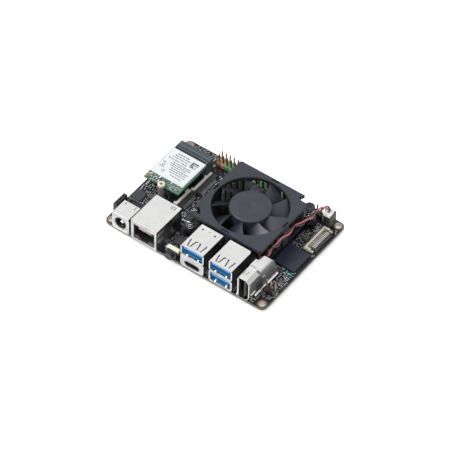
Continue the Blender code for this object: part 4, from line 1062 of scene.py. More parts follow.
def pin_headers():
    for j, row in ((0, FRONT_ROW.split()), (1, BACK_ROW.split())):
        for i, colour in enumerate(row):
            x, y = GPIO.x + (i - 9.5) * PITCH, GPIO.y + (j - 0.5) * PITCH
            add_header_cell(pot("header_" + colour), x, y)
            add_pin(pot("header_pins"), x, y, PIN_TOP)
    for k, (colour, tone) in enumerate(CELL_COLOURS.items()):
        finish = moulded("header_" + colour, tone, 0.38, 0.3, 0.35, 0.02, 0.1)
        piece = pour("header_" + colour, finish, "black_plastic", 0.08)
        if k == 0:
            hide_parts("gpio_header")
    for centre, name, node, colours in (
        (DEBUG, "debug_strip", "debug_header", ("brown", "black", "grey")),
        (SERVICE, "service_strip", "service_header", ("black", "black", "black")),
    ):
        for k, colour in enumerate(colours):
            x = centre.x + (k - 1) * PITCH
            add_header_cell(pot(name + "_" + colour), x, centre.y)
            add_pin(pot("header_pins"), x, centre.y, PIN_TOP)
        for k, colour in enumerate(dict.fromkeys(colours)):
            finish = moulded(name + "_" + colour, STRIP_COLOURS[colour], 0.4, 0.3, 0.35, 0.02, 0.1)
            piece = pour(name + "_" + colour, finish, "black_plastic", 0.08)
            if k == 0:
                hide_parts(node)
    pour("header_pins", PIN_BRONZE, "spring_steel")

    ways = [(x, y) for x, y, _, _ in header_pins(3, 1, True)]
    sockets = boxes(
        *(around(x, y, 0.55, 0.55, 1.5, 8) for x, y in ways),
        *((-2, y - 0.08, 6.35, 2, y + 0.08, 7) for y in (-1.27, 1.27)),
        (0.9, -3.4, 1.2, 2, 3.4, 1.6),
    )
    put("power_socket_strip", BLACK, boxes((-1.1, -4.55, 0.1, 1.1, 4.55, 6.5)), [sockets], at=POWER_HEADER,
        nodes=["power_header"], slot="black_plastic", bevel=0.15)
    forks = []
    for x, y in ways:
        forks.append(boxes(
            (x - 0.5, y - 0.45, 1.6, x - 0.38, y + 0.45, 6.2),
            (x + 0.38, y - 0.45, 1.6, x + 0.5, y + 0.45, 6.2),
        ))
        forks.append(square_pin(x, y, 2.2))
    put("power_socket_contacts", GOLD, forks, at=POWER_HEADER, slot="spring_steel")


# ---- cooler ---------------------------------------------------------------

SIDE = 45.0
BASE_TOP = 4.2
FIN_TOP = 13.7
FIN_COUNT = 40
SKIPPED_FINS = (0, 90, 180, 270, 315)
POCKET = 20.9
OPENING = 20.2
COVER_LOW, COVER_TOP = 14.0, 16.0
WELL = 5.3
EARS = ((-22.0, -20.7), (22.0, 20.7))
CORNER_NOTCH = [
    (-30, -24), (-30, -18.4), (-22.5, -17.6), (-19.7, -16.2), (-16.6, -19.9), (-19.5, -20.6), (-21, -24),
]
HUB = 11.0
HUB_TOP = 15.9
BLADES = 9
BLADE_TIP = 19.6
BLADE_START = 6  # degrees
BLADE_LEAN = 10
BLADE_SWEEP = 32


def heatsink():
    plate = rounded_rectangle(SIDE, SIDE, 1.5)
    fins = []
    for k in range(FIN_COUNT):
        degrees = 360 / FIN_COUNT * k
        if degrees not in SKIPPED_FINS:
            a = math.radians(degrees)
            reach = (SIDE / 2 - 0.8) / max(abs(math.cos(a)), abs(math.sin(a)))
            fins.append(box((POCKET, -0.5, BASE_TOP - 0.4), (reach, 0.5, FIN_TOP), degrees))
    ears = [rod((x, y, 2.4), 1.6, 3.8, sides=40) for x, y in EARS]
    openings = [rod((x, y, 0), BASE_TOP + 1, PUSH_PIN_HOLE) for x, y in EARS]
    for side in SIGNS:
        near, away = sorted((side * 21.1, side * 30))
        openings.append(boxes((near, -2.8, 0, away, 2.8, 6), (-2.8, near, 0, 2.8, away, 6)))
    wells = [rod((x, y, BASE_TOP + 0.05), 20, WELL, sides=48) for x, y in EARS]
    put("heatsink_casting", ANODISED, prism(plate, 2.2, BASE_TOP), [openings, wells], [ears, fins], COOLER,
        nodes=["heatsink"], slot="heatsink_metal", bevel=0.1)
    marks = [ring(r, r + 0.8, BASE_TOP - 0.05, BASE_TOP + 0.07, 96) for r in (12.5, 14.5, 16.5, 18.5)]
    put("heatsink_rings", ANODISED, marks, at=COOLER, slot="heatsink_metal", bevel=0.03)


def fan_cover():
    plate = prism(rounded_rectangle(SIDE, SIDE, 1.5), COVER_LOW, COVER_TOP)
    openings = [turned(((0, 13), (OPENING, 13), (OPENING, 17), (0, 17)), 128)]
    openings += [box((21.1, -2.3, 14.3), (22.0, 2.3, 17), turn) for turn in QUARTERS]
    head_rooms = [rod((x, y, 10), 10, 3.2, sides=48) for x, y in EARS]
    # An angular notch beside each push pin; the second is the first mirrored across a diagonal.
    notches = [prism(CORNER_NOTCH, 10, 20), prism([(-y, -x) for x, y in CORNER_NOTCH], 10, 20)]
    clips = [box((21.3, -2.5, 1.3), (22.3, 2.5, 14.6), turn) for turn in QUARTERS]
    hooks = [box((20.3, -2.2, 1.45), (21.7, 2.2, 2.05), turn) for turn in QUARTERS]
    put("cover_plate", CHARCOAL, plate, [openings, head_rooms, notches], [clips, hooks], COOLER,
        nodes=["fan_cover"], slot="fan_plastic", bevel=0.22, segments=3)
    # A black ring just inside the plate's opening: painted shade on the opening's wall.
    inner, outer = OPENING - 0.22, OPENING + 0.1
    low, high = COVER_LOW - 0.3, COVER_TOP - 0.25
    profile = ((inner, low), (outer, low), (outer, high), (inner, high - 0.2))
    put("cover_throat_painted_shade", BLACK, turned(profile, 128, True), at=COOLER, slot="fan_plastic")


def fan_rotor():
    inner, top, skirt, rounding = HUB - 0.8, HUB_TOP, 7.4, 0.7
    profile = [(0, top - 1.2), (inner, top - 1.2), (inner, skirt), (HUB, skirt), (HUB, top - rounding)]
    for k in range(1, 7):
        a = math.pi / 2 * k / 6
        profile.append((HUB - rounding + rounding * math.cos(a), top - rounding + rounding * math.sin(a)))
    profile += [(HUB - 1.2, top), (HUB - 1.3, top - 0.05), (HUB - 1.5, top - 0.05), (HUB - 1.6, top)]
    profile += [(1.0, top), (0.85, top - 0.12), (0.4, top - 0.12), (0.3, top - 0.02), (0, top - 0.02)]
    turns = [2 * math.pi * k / BLADES + math.radians(BLADE_START) for k in range(BLADES)]
    blades = [shape_of(add_blade)(turn) for turn in turns]
    put("rotor", ROTOR, turned(profile, 96), joins=[blades], at=COOLER, body="fan", nodes=["fan_rotor"],
        slot="fan_plastic", bevel=0.08, angle=50)


def add_blade(bm, lead):
    """A curved slab from the hub to the tip with a rounded outer corner and thin edges."""
    rows, columns = 9, 13
    layers = []
    for offset in (0, -1):
        layer = []
        for i in range(rows):
            radius = HUB - 0.4 + (BLADE_TIP - HUB + 0.4) * (i / (rows - 1))
            row = []
            for j in range(columns):
                share = j / (columns - 1)
                lean = math.radians(BLADE_LEAN) * (radius - HUB) / (BLADE_TIP - HUB)
                a = lead + lean - math.radians(BLADE_SWEEP) * share
                height = 14.9 - 6.4 * share**1.15
                depth = 0.25 + 0.5 * math.sin(math.pi * min(max(share, 0.06), 0.94))
                point = (radius * math.cos(a), radius * math.sin(a), height + offset * depth)
                row.append(bm.verts.new(point))
            layer.append(row)
        layers.append(layer)
    top, bottom = layers
    for i in range(rows - 1):
        for j in range(columns - 1):
            for layer in layers:
                bm.faces.new((layer[i][j], layer[i + 1][j], layer[i + 1][j + 1], layer[i][j + 1]))
        for j in (0, -1):
            bm.faces.new((top[i][j], top[i + 1][j], bottom[i + 1][j], bottom[i][j]))
    for j in range(columns - 1):
        for i in (0, -1):
            bm.faces.new((top[i][j], top[i][j + 1], bottom[i][j + 1], bottom[i][j]))


def fan_motor():
    low = BASE_TOP + 0.1
    base = turned(((0, low), (10, low), (10, 5.1), (0, 5.1)), 72)
    put("motor_board", MOTOR_GREEN, base, at=COOLER, nodes=["fan_motor_base"], slot="motor_board", bevel=0.05)
    put("motor_sleeve", BRASS, ring(1.1, 3, 5.2, 13), at=COOLER, nodes=["fan_bearing"], slot="bearing_brass",
        bevel=0.15)
    tee = [(4.1, -1.1), (7.6, -1.1), (7.6, -4.2), (8.6, -4.2)]
    tee += [(x, -y) for x, y in reversed(tee)]
    arms = []
    for turn in range(4):
        spin = Matrix.Rotation(turn * math.pi / 2, 2)
        arms.append(prism([tuple(spin @ Vector(point)) for point in tee], 7.6, 11.4))
    put("motor_core", STEEL, ring(3.1, 4.6, 7.5, 11.5), [], [arms], COOLER, nodes=["fan_coil_core"],
        slot="core_steel", bevel=0.1)
    coils = []
    for turn in range(4):
        a = math.radians(90 * turn)
        path = []
        for k in range(97):
            t = 2 * math.pi * 8 * k / 96
            out = 5.0 + 2.3 * k / 96
            across, up = 1.35 * math.cos(t), 9.5 + 2.15 * math.sin(t)
            x, y = out * math.cos(a) - across * math.sin(a), out * math.sin(a) + across * math.cos(a)
            path.append(Vector((x, y, up)))
        coils.append(tube(path, 0.14, 6))
    put("motor_coils", COPPER_WIRE, coils, at=COOLER, slot="bearing_brass")
    shaft = turned(((0, 5.3), (0.8, 5.3), (1.0, 5.6), (1.0, 14.6), (0, 14.6)), 32)
    put("motor_shaft", STEEL, shaft, at=COOLER, body="fan", nodes=["fan_shaft"], slot="plated_steel")


def push_pins():
    profile = [(0, -2.9), (1.1, -2.9), (2.15, -2.0), (2.15, -1.75), (1.4, -1.75), (1.4, 11.2), (2.8, 11.2)]
    profile += [(2.8, 12.0), (2.7, 12.35), (2.45, 12.58), (1.7, 12.6), (1.6, 12.3), (0.9, 12.3)]
    profile += [(0.8, 12.5), (0, 12.5)]
    split = boxes((-0.35, -4, -4, 0.35, 4, 0.6), (-1.9, -0.25, 12.2, 1.9, 0.25, 14))
    low, high, turns, count = 4.62, 10.82, 5.5, 180
    path = []
    for i in range(count + 1):
        t = i / count
        flat = min(1.0, max(0.0, (t - 0.12) / 0.76))
        a = 2 * math.pi * turns * t
        path.append(Vector((2.2 * math.cos(a), 2.2 * math.sin(a), low + (high - low) * flat)))
    for name, place in PUSH_PINS.items():
        body = "push_pin_" + name
        put(body + "_stud", CHARCOAL, turned(profile, 40), [split], at=place, body=body, nodes=[body],
            slot="black_plastic", bevel=0.06)
        coil = tube(path, 0.27, 10)
        nodes = ["push_pin_spring_" + name]
        spring = put(body + "_coil", SPRING, coil, at=place, nodes=nodes, slot="plated_steel")
        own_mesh(spring)


LEAD_ROUTE = [
    (20.3, -3.5, 5.6), (24.0, -7.3, 5.6), (28.6, -11.2, 6.0), (32.6, -13.6, 8.0), (35.5, -13.2, 11.2),
    (35.8, -10.2, 13.2), (36.4, -6.2, 12.9), (36.0, -1.4, 13.6), (36.2, 4.4, 12.9), (36.1, 9.0, 13.3),
    (37.6, 13.2, 12.5), (37.9, 17.4, 12.2), (38.2, 22.0, 11.4), (38.3, 26.4, 10.6), (39.2, 29.2, 11.3),
    (40.8, 30.5, 12.0), (42.2, 30.75, 11.4), (42.4, 30.75, 9.9),
]
LEAD_TURNS = 4.5
LEAD_TWIST = 0.6
WIRE = 0.44
PLUG_WAYS = (-1.27, 1.27)


def fan_lead():
    count = 300
    centre = smooth_path(LEAD_ROUTE, count)
    aheads = [(centre[min(i + 1, count - 1)] - centre[max(i - 1, 0)]).normalized() for i in range(count)]
    across = aheads[0].cross(UP).normalized()
    frames = []
    for i, ahead in enumerate(aheads):
        if i:
            across = aheads[i - 1].rotation_difference(ahead) @ across
        across = (across - ahead * across.dot(ahead)).normalized()
        frames.append((across.copy(), ahead.cross(across)))
    final = math.atan2(frames[-1][1].y, frames[-1][0].y)
    paths = ([], [])
    for i, (point, (side, above)) in enumerate(zip(centre, frames)):
        a = final + 2 * math.pi * LEAD_TURNS * (i / (count - 1) - 1)
        offset = LEAD_TWIST * (side * math.cos(a) + above * math.sin(a))
        paths[0].append(point + offset)
        paths[1].append(point - offset)
    for name, finish, path in (("red", WIRE_RED, paths[0]), ("black", WIRE_BLACK, paths[1])):
        put("lead_" + name, finish, tube(path, WIRE, 14), nodes=["fan_wire_" + name], slot=name + "_wire")

    details = []
    for y in PLUG_WAYS:
        details.append(boxes((-0.6, y - 0.6, 3, 0.6, y + 0.6, 8.9)))
        details.append(rod((0, y, 9.0), 1, 0.55, sides=20))
        details.append(boxes((-2.4, y - 0.35, 4.4, -1.6, y + 0.35, 8.4)))
    details.append(boxes((1.75, -1.0, 3, 2.4, -0.7, 9), (1.75, 0.7, 3, 2.4, 1.0, 9)))
    put("plug_shell", WHITE, boxes((-2.0, -2.4, 3.4, 2.0, 2.4, 9.5)), [details], at=PLUG, nodes=["fan_plug"],
        slot="white_plastic", bevel=0.12)
    crimps = boxes(*((-1.75, y - 0.25, 5.2, -1.6, y + 0.25, 7.8) for y in PLUG_WAYS))
    put("plug_crimps", PIN_TIN, crimps, at=PLUG, slot="spring_steel", bevel=0.03)
    outline = [(-1.5, -2.9), (2.7, -2.9), (2.7, 2.9), (-1.5, 2.9)]
    outline += [(-1.5, 2.45), (2.1, 2.45), (2.1, -2.45), (-1.5, -2.45)]
    base, key = boxes((-1.45, -2.6, 0.15, 2.3, 2.6, 3.2)), boxes((1.9, 1.9, 7.0, 2.65, 2.75, 9.2))
    put("plug_header", BLACK, prism(outline, 0.1, 7.9), [], [base, key], PLUG, nodes=["fan_header"],
        slot="black_plastic", bevel=0.12)
    put("plug_header_pins", GOLD, [square_pin(0, y, 8.4) for y in PLUG_WAYS], at=PLUG, slot="spring_steel")


# ---- card and flat-cable sockets -------------------------------------------

CARD = (-47.6, -25.7, -5.6, 24.0)
CARD_LOW, CARD_HIGH = 7.9, 8.7
SCREW = (-36.4, -5.6)
SHIELD = (-46.9, -26.3, -1.1, 19.2)
SHIELD_TOP = 9.7
PRINT_LOW = SHIELD_TOP - 0.01
PRINT_HIGH = SHIELD_TOP - 0.01 + 0.018
LABEL_DASHES = (  # height on the label, start, stop and pot
    (16.6, -42.5, -35.0, ""), (15.1, -43.0, -33.5, ""), (13.6, -43.5, -34.0, "_pale"),
    (11.9, -45.0, -38.5, "_pale"), (11.9, -37.5, -33.8, ""), (10.3, -41.0, -30.0, "_pale"),
    (9.1, -41.5, -29.5, "_pale"), (7.8, -41.0, -31.5, "_pale"), (6.4, -39.5, -28.8, "_pale"),
    (5.1, -39.5, -29.5, "_pale"), (3.7, -38.5, -29.0, "_pale"), (8.0, -45.5, -43.5, ""),
    (4.6, -45.5, -42.5, "_pale"), (1.9, -37.0, -29.5, "_pale"),
)


def card_label(rng):
    """Dashes, a square of dots and two rings on the card's label."""
    for y, start, stop, tone in LABEL_DASHES:
        x = start
        while x < stop:
            step = rng.uniform(0.5, 1.5)
            add_box(pot("label_bars" + tone), (x, y, PRINT_LOW), (min(x + step, stop), y + 0.6, PRINT_HIGH))
            x += step + rng.uniform(0.22, 0.45)
    for i in range(9):
        for j in range(9):
            edge = i in (0, 8) or j in (0, 8)
            if rng.random() < (0.8 if edge else 0.5):
                x, y = -32.6 + i * 0.44, 12.6 + j * 0.44
                add_box(pot("label_bars"), (x, y, PRINT_LOW), (x + 0.43, y + 0.43, PRINT_HIGH))
    for centre in ((-44.0, 6.4), (-41.6, 2.6)):
        draw(ring(0.55, 0.85, PRINT_LOW, PRINT_HIGH, 24, centre), pot("label_bars"))
    pour("label_bars", PRINT_GREY, "label_white")
    pour("label_bars_pale", PRINT_PALE, "label_white")


def card_parts(rng):
    """Small parts, aerial sockets and contact fingers on the card."""
    left, right, near, far = CARD
    top = CARD_HIGH
    for k in range(5):
        two_end(left + 1.6 + k * 1.6, near + 2.1 + 0.3 * (k % 2), 90, 1.0, 0.5, 0.35, smd_pot(k % 2), top)
    for k in range(7):
        x, y = SCREW[0] + 3.0 + k * 1.05, near + 2.7 - 0.5 * (k % 3)
        two_end(x, y, 0 if k % 3 else 90, 0.8, 0.42, 0.35, smd_pot(k % 3), top)
    for name, count in (("card_specks_pale", 70), ("card_specks_dark", 60)):
        for _ in range(count):
            x, y = rng.uniform(left + 0.5, right - 0.5), rng.uniform(near + 0.3, SHIELD[2] - 0.4)
            turn = rng.choice((0, 90))
            if math.hypot(x - SCREW[0], y - SCREW[1]) > 3.2:
                w, d = rng.uniform(0.2, 0.5), rng.uniform(0.15, 0.3)
                add_box(pot(name), (x - w, y - d, top - 0.01), (x + w, y + d, top + 0.16), turn, (x, y))
    pour("card_specks_pale", SOLDER, "plated_steel", 0.03)
    pour("card_specks_dark", FERRITE, "chip_epoxy", 0.03)
    for x, y in ((-46.0, -3.9), (-28.2, -3.7)):
        draw(ring(0.75, 1.0, top - 0.05, top + 0.6, 28, (x, y)), pot("coax_rings"))
        add_rod(pot("coax_rings"), (x, y, top - 0.05), 0.45, 0.22, sides=12)
        draw(boxes(around(x, y, 0.95, 0.95, top - 0.02, top + 0.12)), pot("coax_feet"))
    pour("coax_rings", GOLD, "pale_brass")
    pour("coax_feet", PAD_TIN, "pale_brass", 0.04)
    low, high = top - 0.01, top + 0.02
    fingers = pot("card_fingers")
    for k in range(32):
        x = -45.4 + k * 0.5
        add_box(fingers, (x, 19.2, low), (x + 0.34, 19.6, high))
    for k in range(1, 16):
        a = math.pi * k / 16
        x, y = SCREW[0] + 1.95 * math.cos(a), SCREW[1] + 1.95 * math.sin(a)
        add_box(fingers, (x - 0.5, y - 0.2, low), (x + 0.5, y + 0.2, high), math.degrees(a) + 90, (x, y))
    pour("card_fingers", GOLD, "pale_brass")


def wireless_card():
    left, right, near, far = CARD
    step = 19.3
    outline = [(left, near)]
    for i in range(17):
        a = math.pi * (1 - i / 16)
        outline.append((SCREW[0] + 1.25 * math.cos(a), near + 1.25 * math.sin(a)))
    outline += [(right, near), (right, step), (right - 1.2, step), (right - 1.2, far), (left + 1.4, far)]
    outline += [(left + 1.4, step), (left, step)]
    card = prism(outline, CARD_LOW, CARD_HIGH)
    put("card_board", CARD_MASK, card, nodes=["wireless_card"], slot="card_green", bevel=0.05)
    shield = boxes((SHIELD[0], SHIELD[2], CARD_HIGH, SHIELD[1], SHIELD[3], SHIELD_TOP - 0.06))
    dimples = []
    for k in range(10):
        dimples.append(rod((SHIELD[0] + 1.4 + k * 1.98, SHIELD[2] - 0.3, 9.1), 0.5, 0.22, "Y", 12))
        dimples.append(rod((SHIELD[1] - 0.2, SHIELD[2] + 1.4 + k * 1.95, 9.1), 0.5, 0.22, "X", 12))
    put("card_shield_can", TIN, shield, [dimples], nodes=["card_shield"], slot="plated_steel", bevel=0.12)
    label = prism(rounded_rectangle(19.8, 19.5, 0.5, 5, (-36.6, 9.05)), SHIELD_TOP - 0.07, SHIELD_TOP)
    put("card_label", PAPER, label, slot="label_white", bevel=0.02)
    rng = random.Random(5)
    card_label(rng)
    card_parts(rng)

    cuts = boxes(
        (-46.35, 19, CARD_LOW - 0.1, -26.75, far + 0.1, CARD_HIGH + 0.1),
        (-45.9, 19, CARD_HIGH, -27.1, 20.25, 11),
        *((-45.6 + k * 1.08 - 0.28, 20.9, 9.4, -45.6 + k * 1.08 + 0.28, 22.1, 11) for k in range(18)),
        (-46, 24.6, 9.7, -27, 24.9, 11),
        (-44.9, 22.9, 9.75, -28.1, 24.1, 11),
    )
    put("card_socket_body", SLATE, boxes((-46.7, 19.5, 0.1, -26.3, 25.5, 10)), [cuts], nodes=["card_socket"],
        slot="slate_plastic", bevel=0.15)
    # A thin black strip lying on the card in the socket's mouth: painted shade where the card goes in.
    mouth = boxes((-45.95, 19.6, CARD_HIGH + 0.02, -27.05, 20.35, CARD_HIGH + 0.16))
    put("card_socket_mouth_painted_shade", BLACK, mouth, slot="black_plastic")
    starts = [-45.2 + k * 1.35 for k in range(14)]
    feet = boxes(*((x - 0.32, 25.3, 0.02, x + 0.32, 26.9, 0.3) for x in starts))
    put("card_socket_tails", PIN_TIN, feet, slot="spring_steel")

    high = CARD_LOW - 0.1
    profile = [(0, 0.1), (2.1, 0.1), (2.1, 0.6), (1.85, 0.75), (1.85, high - 0.3), (1.75, high), (1.15, high)]
    profile += [(1.15, 3.5), (0, 3.5)]
    put("card_post", POST_GREY, turned(profile), at=(*SCREW, 0), nodes=["card_standoff"], slot="dark_metal",
        bevel=0.05)
    under = CARD_HIGH + 0.1
    profile = [(0, 4.5), (1.0, 4.5), (1.0, under), (2.0, under), (2.0, 9.9), (1.9, 10.1), (1.7, 10.2)]
    profile += [(0.95, 10.2), (0.85, 10.1), (0.8, 9.3), (0, 9.3)]
    put("card_screw_head", SCREW_CREAM, turned(profile), at=(*SCREW, 0), nodes=["card_screw"],
        slot="pale_brass", bevel=0.05)
    recess = turned(((0, 9.28), (0.82, 9.28), (0.82, 9.5), (0.6, 9.5), (0.5, 9.35), (0, 9.35)), 32)
    put("card_screw_recess", POST_GREY, recess, at=(*SCREW, 0), slot="dark_metal")


FLAP_HINGE = 2.1  # height of the flat-cable sockets' hinges


def camera_sockets():
    section = [(-2.5, 0.1), (3.7, 0.1), (3.7, 0.35), (3.1, 0.35)]
    section += [(3.1, 2.1), (0.1, 2.1), (0.1, 0.8), (-2.5, 0.8)]
    for name, hinge, near, far, notch in (("front", -25.8, -6.5, 6.0, 0), ("back", -24.4, 6.6, 22.6, 3.5)):
        length = far - near
        at = (hinge, near, 0)
        ways = range(int(length - 2.4))
        cuts = [boxes((-3, length - notch - 0.1, -1, -1.4, length + 1, 3))] if notch else []
        cuts += [
            boxes((2.5, 1.3 + k, 1.2, 4, 1.8 + k, 3), (-2.3, 1.3 + k, 0.6, 0, 1.8 + k, 1.0)) for k in ways
        ]
        put("cable_socket_" + name, BROWN, prism(section, 0, length, "Y"), [cuts], at=at,
            nodes=["camera_socket_" + name], slot="black_plastic", bevel=0.08)
        contacts = [
            boxes((2.6, 1.3 + k, 0.9, 3.3, 1.8 + k, 1.5), (3.1, 1.3 + k, 0.02, 4.0, 1.8 + k, 0.5))
            for k in ways
        ]
        put("cable_socket_contacts_" + name, SOLDER, contacts, at=at, slot="spring_steel")

        # The flap: a narrow bar with an ear at each end that reaches over the cable's way in.
        end = length - 0.1
        outline = [(-2.4, 0.1), (-0.05, 0.1), (-0.05, end)]
        if notch:
            step = length - notch
            outline += [(-1.35, end), (-1.35, step), (-2.4, step), (-2.4, step - 1.2)]
        else:
            outline += [(-2.4, end), (-2.4, end - 2.2)]
        outline += [(-1.55, outline[-1][1]), (-1.55, 1.5), (-2.4, 1.5)]
        grip = boxes((-0.55, 1.9, -0.3, -0.4, end - 1.9, 1))
        put("cable_latch_" + name, CREAM_GREY, prism(outline, -1.15, 0), [grip], at=(hinge, near, FLAP_HINGE),
            body="camera_latch_" + name, nodes=["camera_latch_" + name], slot="cream_plastic", bevel=0.12)


def display_socket():
    hinge, near, far = 45.1, 9.3, 27.3
    length, ear, ways = far - near, 1.7, 14
    place, high = (hinge, near, 0), (hinge, near, FLAP_HINGE)
    housing = prism([(-3.2, 0.1), (-1.5, 0.1), (-1.5, 2.1), (-2.6, 2.1), (-3.0, 1.6)], 0, length, "Y")
    ears = [
        boxes((-1.7, low, 0.1, 0.9, low + 1.1, 2.05), (0.8, low + 0.1, 0.1, 2.5, low + 1.0, 1.1))
        for low in (0.05, length - 1.15)
    ]
    put("display_connector", CREAM, housing, joins=[ears], at=place, nodes=["display_socket"],
        slot="cream_plastic", bevel=0.1)
    bed = boxes((-1.55, 0.9, 0.1, 2.7, length - 0.9, 0.75))
    put("display_bed", BROWN, bed, at=place, slot="brown_plastic", bevel=0.05)
    contacts = [
        boxes((-1.1, 2.25 + k, 0.7, -0.1, 2.7 + k, 1.75), (2.6, 2.25 + k, 0.02, 3.2, 2.7 + k, 0.5))
        for k in range(ways)
    ]
    put("display_contacts", SOLDER, contacts, at=place, slot="spring_steel")
    bars = boxes(*((0.3, 2.75 + k, -0.1, 2.35, 3.15 + k, 0.02) for k in range(ways - 1)))
    put("display_flap_bars", CREAM_GREY, bars, at=high, body="display_latch", slot="cream_plastic",
        bevel=0.03)
    flap = boxes((0.0, ear + 0.15, -1.15, 2.55, length - ear - 0.15, 0))
    ribs = boxes(*((0.35, 2.2 + k, -0.4, 2.25, 2.7 + k, 1) for k in range(ways)))
    put("display_flap", OLIVE, flap, [ribs], at=high, body="display_latch", nodes=["display_latch"],
        slot="brown_plastic", bevel=0.06)


def memory_card_socket():
    high = -BOARD[2] - 0.1
    below, slit_top = high - 2, high - 1.2
    cuts = [boxes((36, -0.9, high - 1.15, 52, 11.4, high - 0.25))]
    for y in (1.5, 8.0):
        cuts.append(boxes(
            (38.5, y, below, 44.0, y + 0.25, slit_top),
            (38.5, y + 1.6, below, 44.0, y + 1.85, slit_top),
            (38.5, y, below, 38.75, y + 1.85, slit_top),
        ))
    cuts.append(rod((46.5, 5.2, below), 0.8, 0.6))
    put("memory_slot", TIN, boxes((34.5, -2, high - 1.4, 49.2, 12.5, high)), [cuts],
        nodes=["memory_card_socket"], slot="plated_steel", bevel=0.1)


# ---- chips and small parts --------------------------------------------------


def smd_pot(tan):
    """The pot of a small part's body: tan ceramic or dark ferrite."""
    return "smd_tan" if tan else "smd_dark"


def two_end(x, y, turn, length, width, height, body, low=0.0):
    """A chip resistor or capacitor with a metal cap at each end."""
    half, deep, cap = length / 2, width / 2, length * 0.27
    inner = half - cap * 0.8
    add_box(pot(body), (x - inner, y - deep, low), (x + inner, y + deep, low + height), turn, (x, y))
    deep, high = deep + 0.03, low + height + 0.03
    for side in SIGNS:
        near, away = sorted((x + side * half, x + side * (half - cap)))
        add_box(pot("smd_ends"), (near, y - deep, low), (away, y + deep, high), turn, (x, y))


def small_chip(x, y, length, width, height, legs):
    """A small package with a row of legs on two sides and a dot by its first leg."""
    wide, deep = length / 2, width / 2
    draw(boxes(around(x, y, wide, deep, 0.08, height)), pot("ic_bodies"))
    add_rod(pot("ic_dots"), (x - wide + 0.35, y - deep + 0.35, height - 0.01), 0.02, 0.12, sides=12)
    for side in SIGNS:
        for leg in spread(legs, length / legs):
            low, high = sorted((y + side * deep, y + side * (deep + 0.45)))
            add_box(pot("ic_legs"), (x + leg - 0.13, low, 0.02), (x + leg + 0.13, high, 0.25))


def silk_frame(x, y, length, width, gap=1.2):
    """The corners of a printed outline."""
    thick = 0.15
    for sx in SIGNS:
        for sy in SIGNS:
            cx, cy = x + sx * length / 2, y + sy * width / 2
            for dx, dy in ((gap, thick), (thick, gap)):
                xs, ys = sorted((cx, cx - sx * dx)), sorted((cy, cy - sy * dy))
                add_box(pot("silk"), (xs[0], ys[0], PRINT_LEVELS[0]), (xs[1], ys[1], PRINT_LEVELS[1]))


def chip(name, finish, x, y, size, height, node):
    """A flat package with a dot at one corner and a printed frame round it."""
    wide, deep, low = size[0] / 2, size[1] / 2, 0.1
    body = boxes(around(x, y, wide, deep, low, low + height))
    dot = rod((x - wide + 0.9, y + deep - 0.9, low + height - 0.05), 1, 0.28, sides=20)
    put(name, finish, body, [dot], nodes=[node], slot="chip_epoxy", bevel=0.08)
    silk_frame(x, y, size[0] + 0.9, size[1] + 0.9)


def chips():
    chip("memory_package", EPOXY_BLUE, 41.4, 0.4, (13, 14.5), 1.0, "memory_chip")
    chip("storage_package", EPOXY, -36.5, 9.0, (11.5, 13), 1.0, "storage_chip")
    chip("power_package", EPOXY_SLATE, -46.2, -11.8, (6.4, 6.4), 0.9, "power_chip")
    chip("port_package", EPOXY_GREY, -10.2, -24.4, (5.5, 5.5), 0.9, "port_chip")
    legs = []
    for along in spread(9, 0.5):
        for side in SIGNS:
            for x, y, reach in ((-10.2, -24.4, 2.75), (-46.2, -11.8, 3.2)):
                out = side * (reach + 0.15)
                legs.append(around(x + along, y + out, 0.11, 0.3, 0.02, 0.16))
                legs.append(around(x + out, y + along, 0.3, 0.11, 0.02, 0.16))
    draw(boxes(*legs), pot("ic_legs"))
    for name, x, y in (("left", -40.0, -9.4), ("right", 39.3, 15.6)):
        coil = prism(rounded_rectangle(3, 3, 0.5, 4, (x, y)), 0.1, 1.9)
        put("coil_block_" + name, FERRITE, coil, [rod((x, y, 1.75), 1, 1.05, sides=28)],
            nodes=["inductor_" + name], slot="chip_epoxy", bevel=0.12)
        feet = [around(x + side * 1.35, y, 0.3, 1.1, 0.02, 0.6) for side in SIGNS]
        draw(boxes(*feet), pot("ic_legs"))
    # The status lamp's teal lens, and three small parts beside it painted in the same teal: painted glow of
    # the lamp.
    light = boxes(
        (-0.8, -0.4, 0.1, 0.8, 0.4, 0.7),
        *(around(x, y, 0.45, 0.25, 0.02, 0.45) for x, y in ((-2.6, -0.6), (-1.9, 1.2), (0.9, 1.3))),
    )
    put("lamp_lens_and_painted_glow", LAMP, light, at=(46.3, -9.2, 0), nodes=["status_light"], slot="status_light", bevel=0.1)
    caps = [around(46.3 + side * 0.85, -9.2, 0.2, 0.4, 0, 0.35) for side in SIGNS]
    draw(boxes(*caps), pot("smd_ends"))
    package = boxes((-10.5, -10.5, 0.1, 10.5, 10.5, 1.4))
    put("processor_package", EPOXY, package, at=COOLER, nodes=["processor"], slot="chip_epoxy", bevel=0.1)
    pad = prism(rounded_rectangle(20, 20, 0.6, 4), 1.5, 2.1)
    put("thermal_sheet", PAD_PUTTY, pad, at=COOLER, nodes=["thermal_pad"], slot="thermal_pad", bevel=0.1)


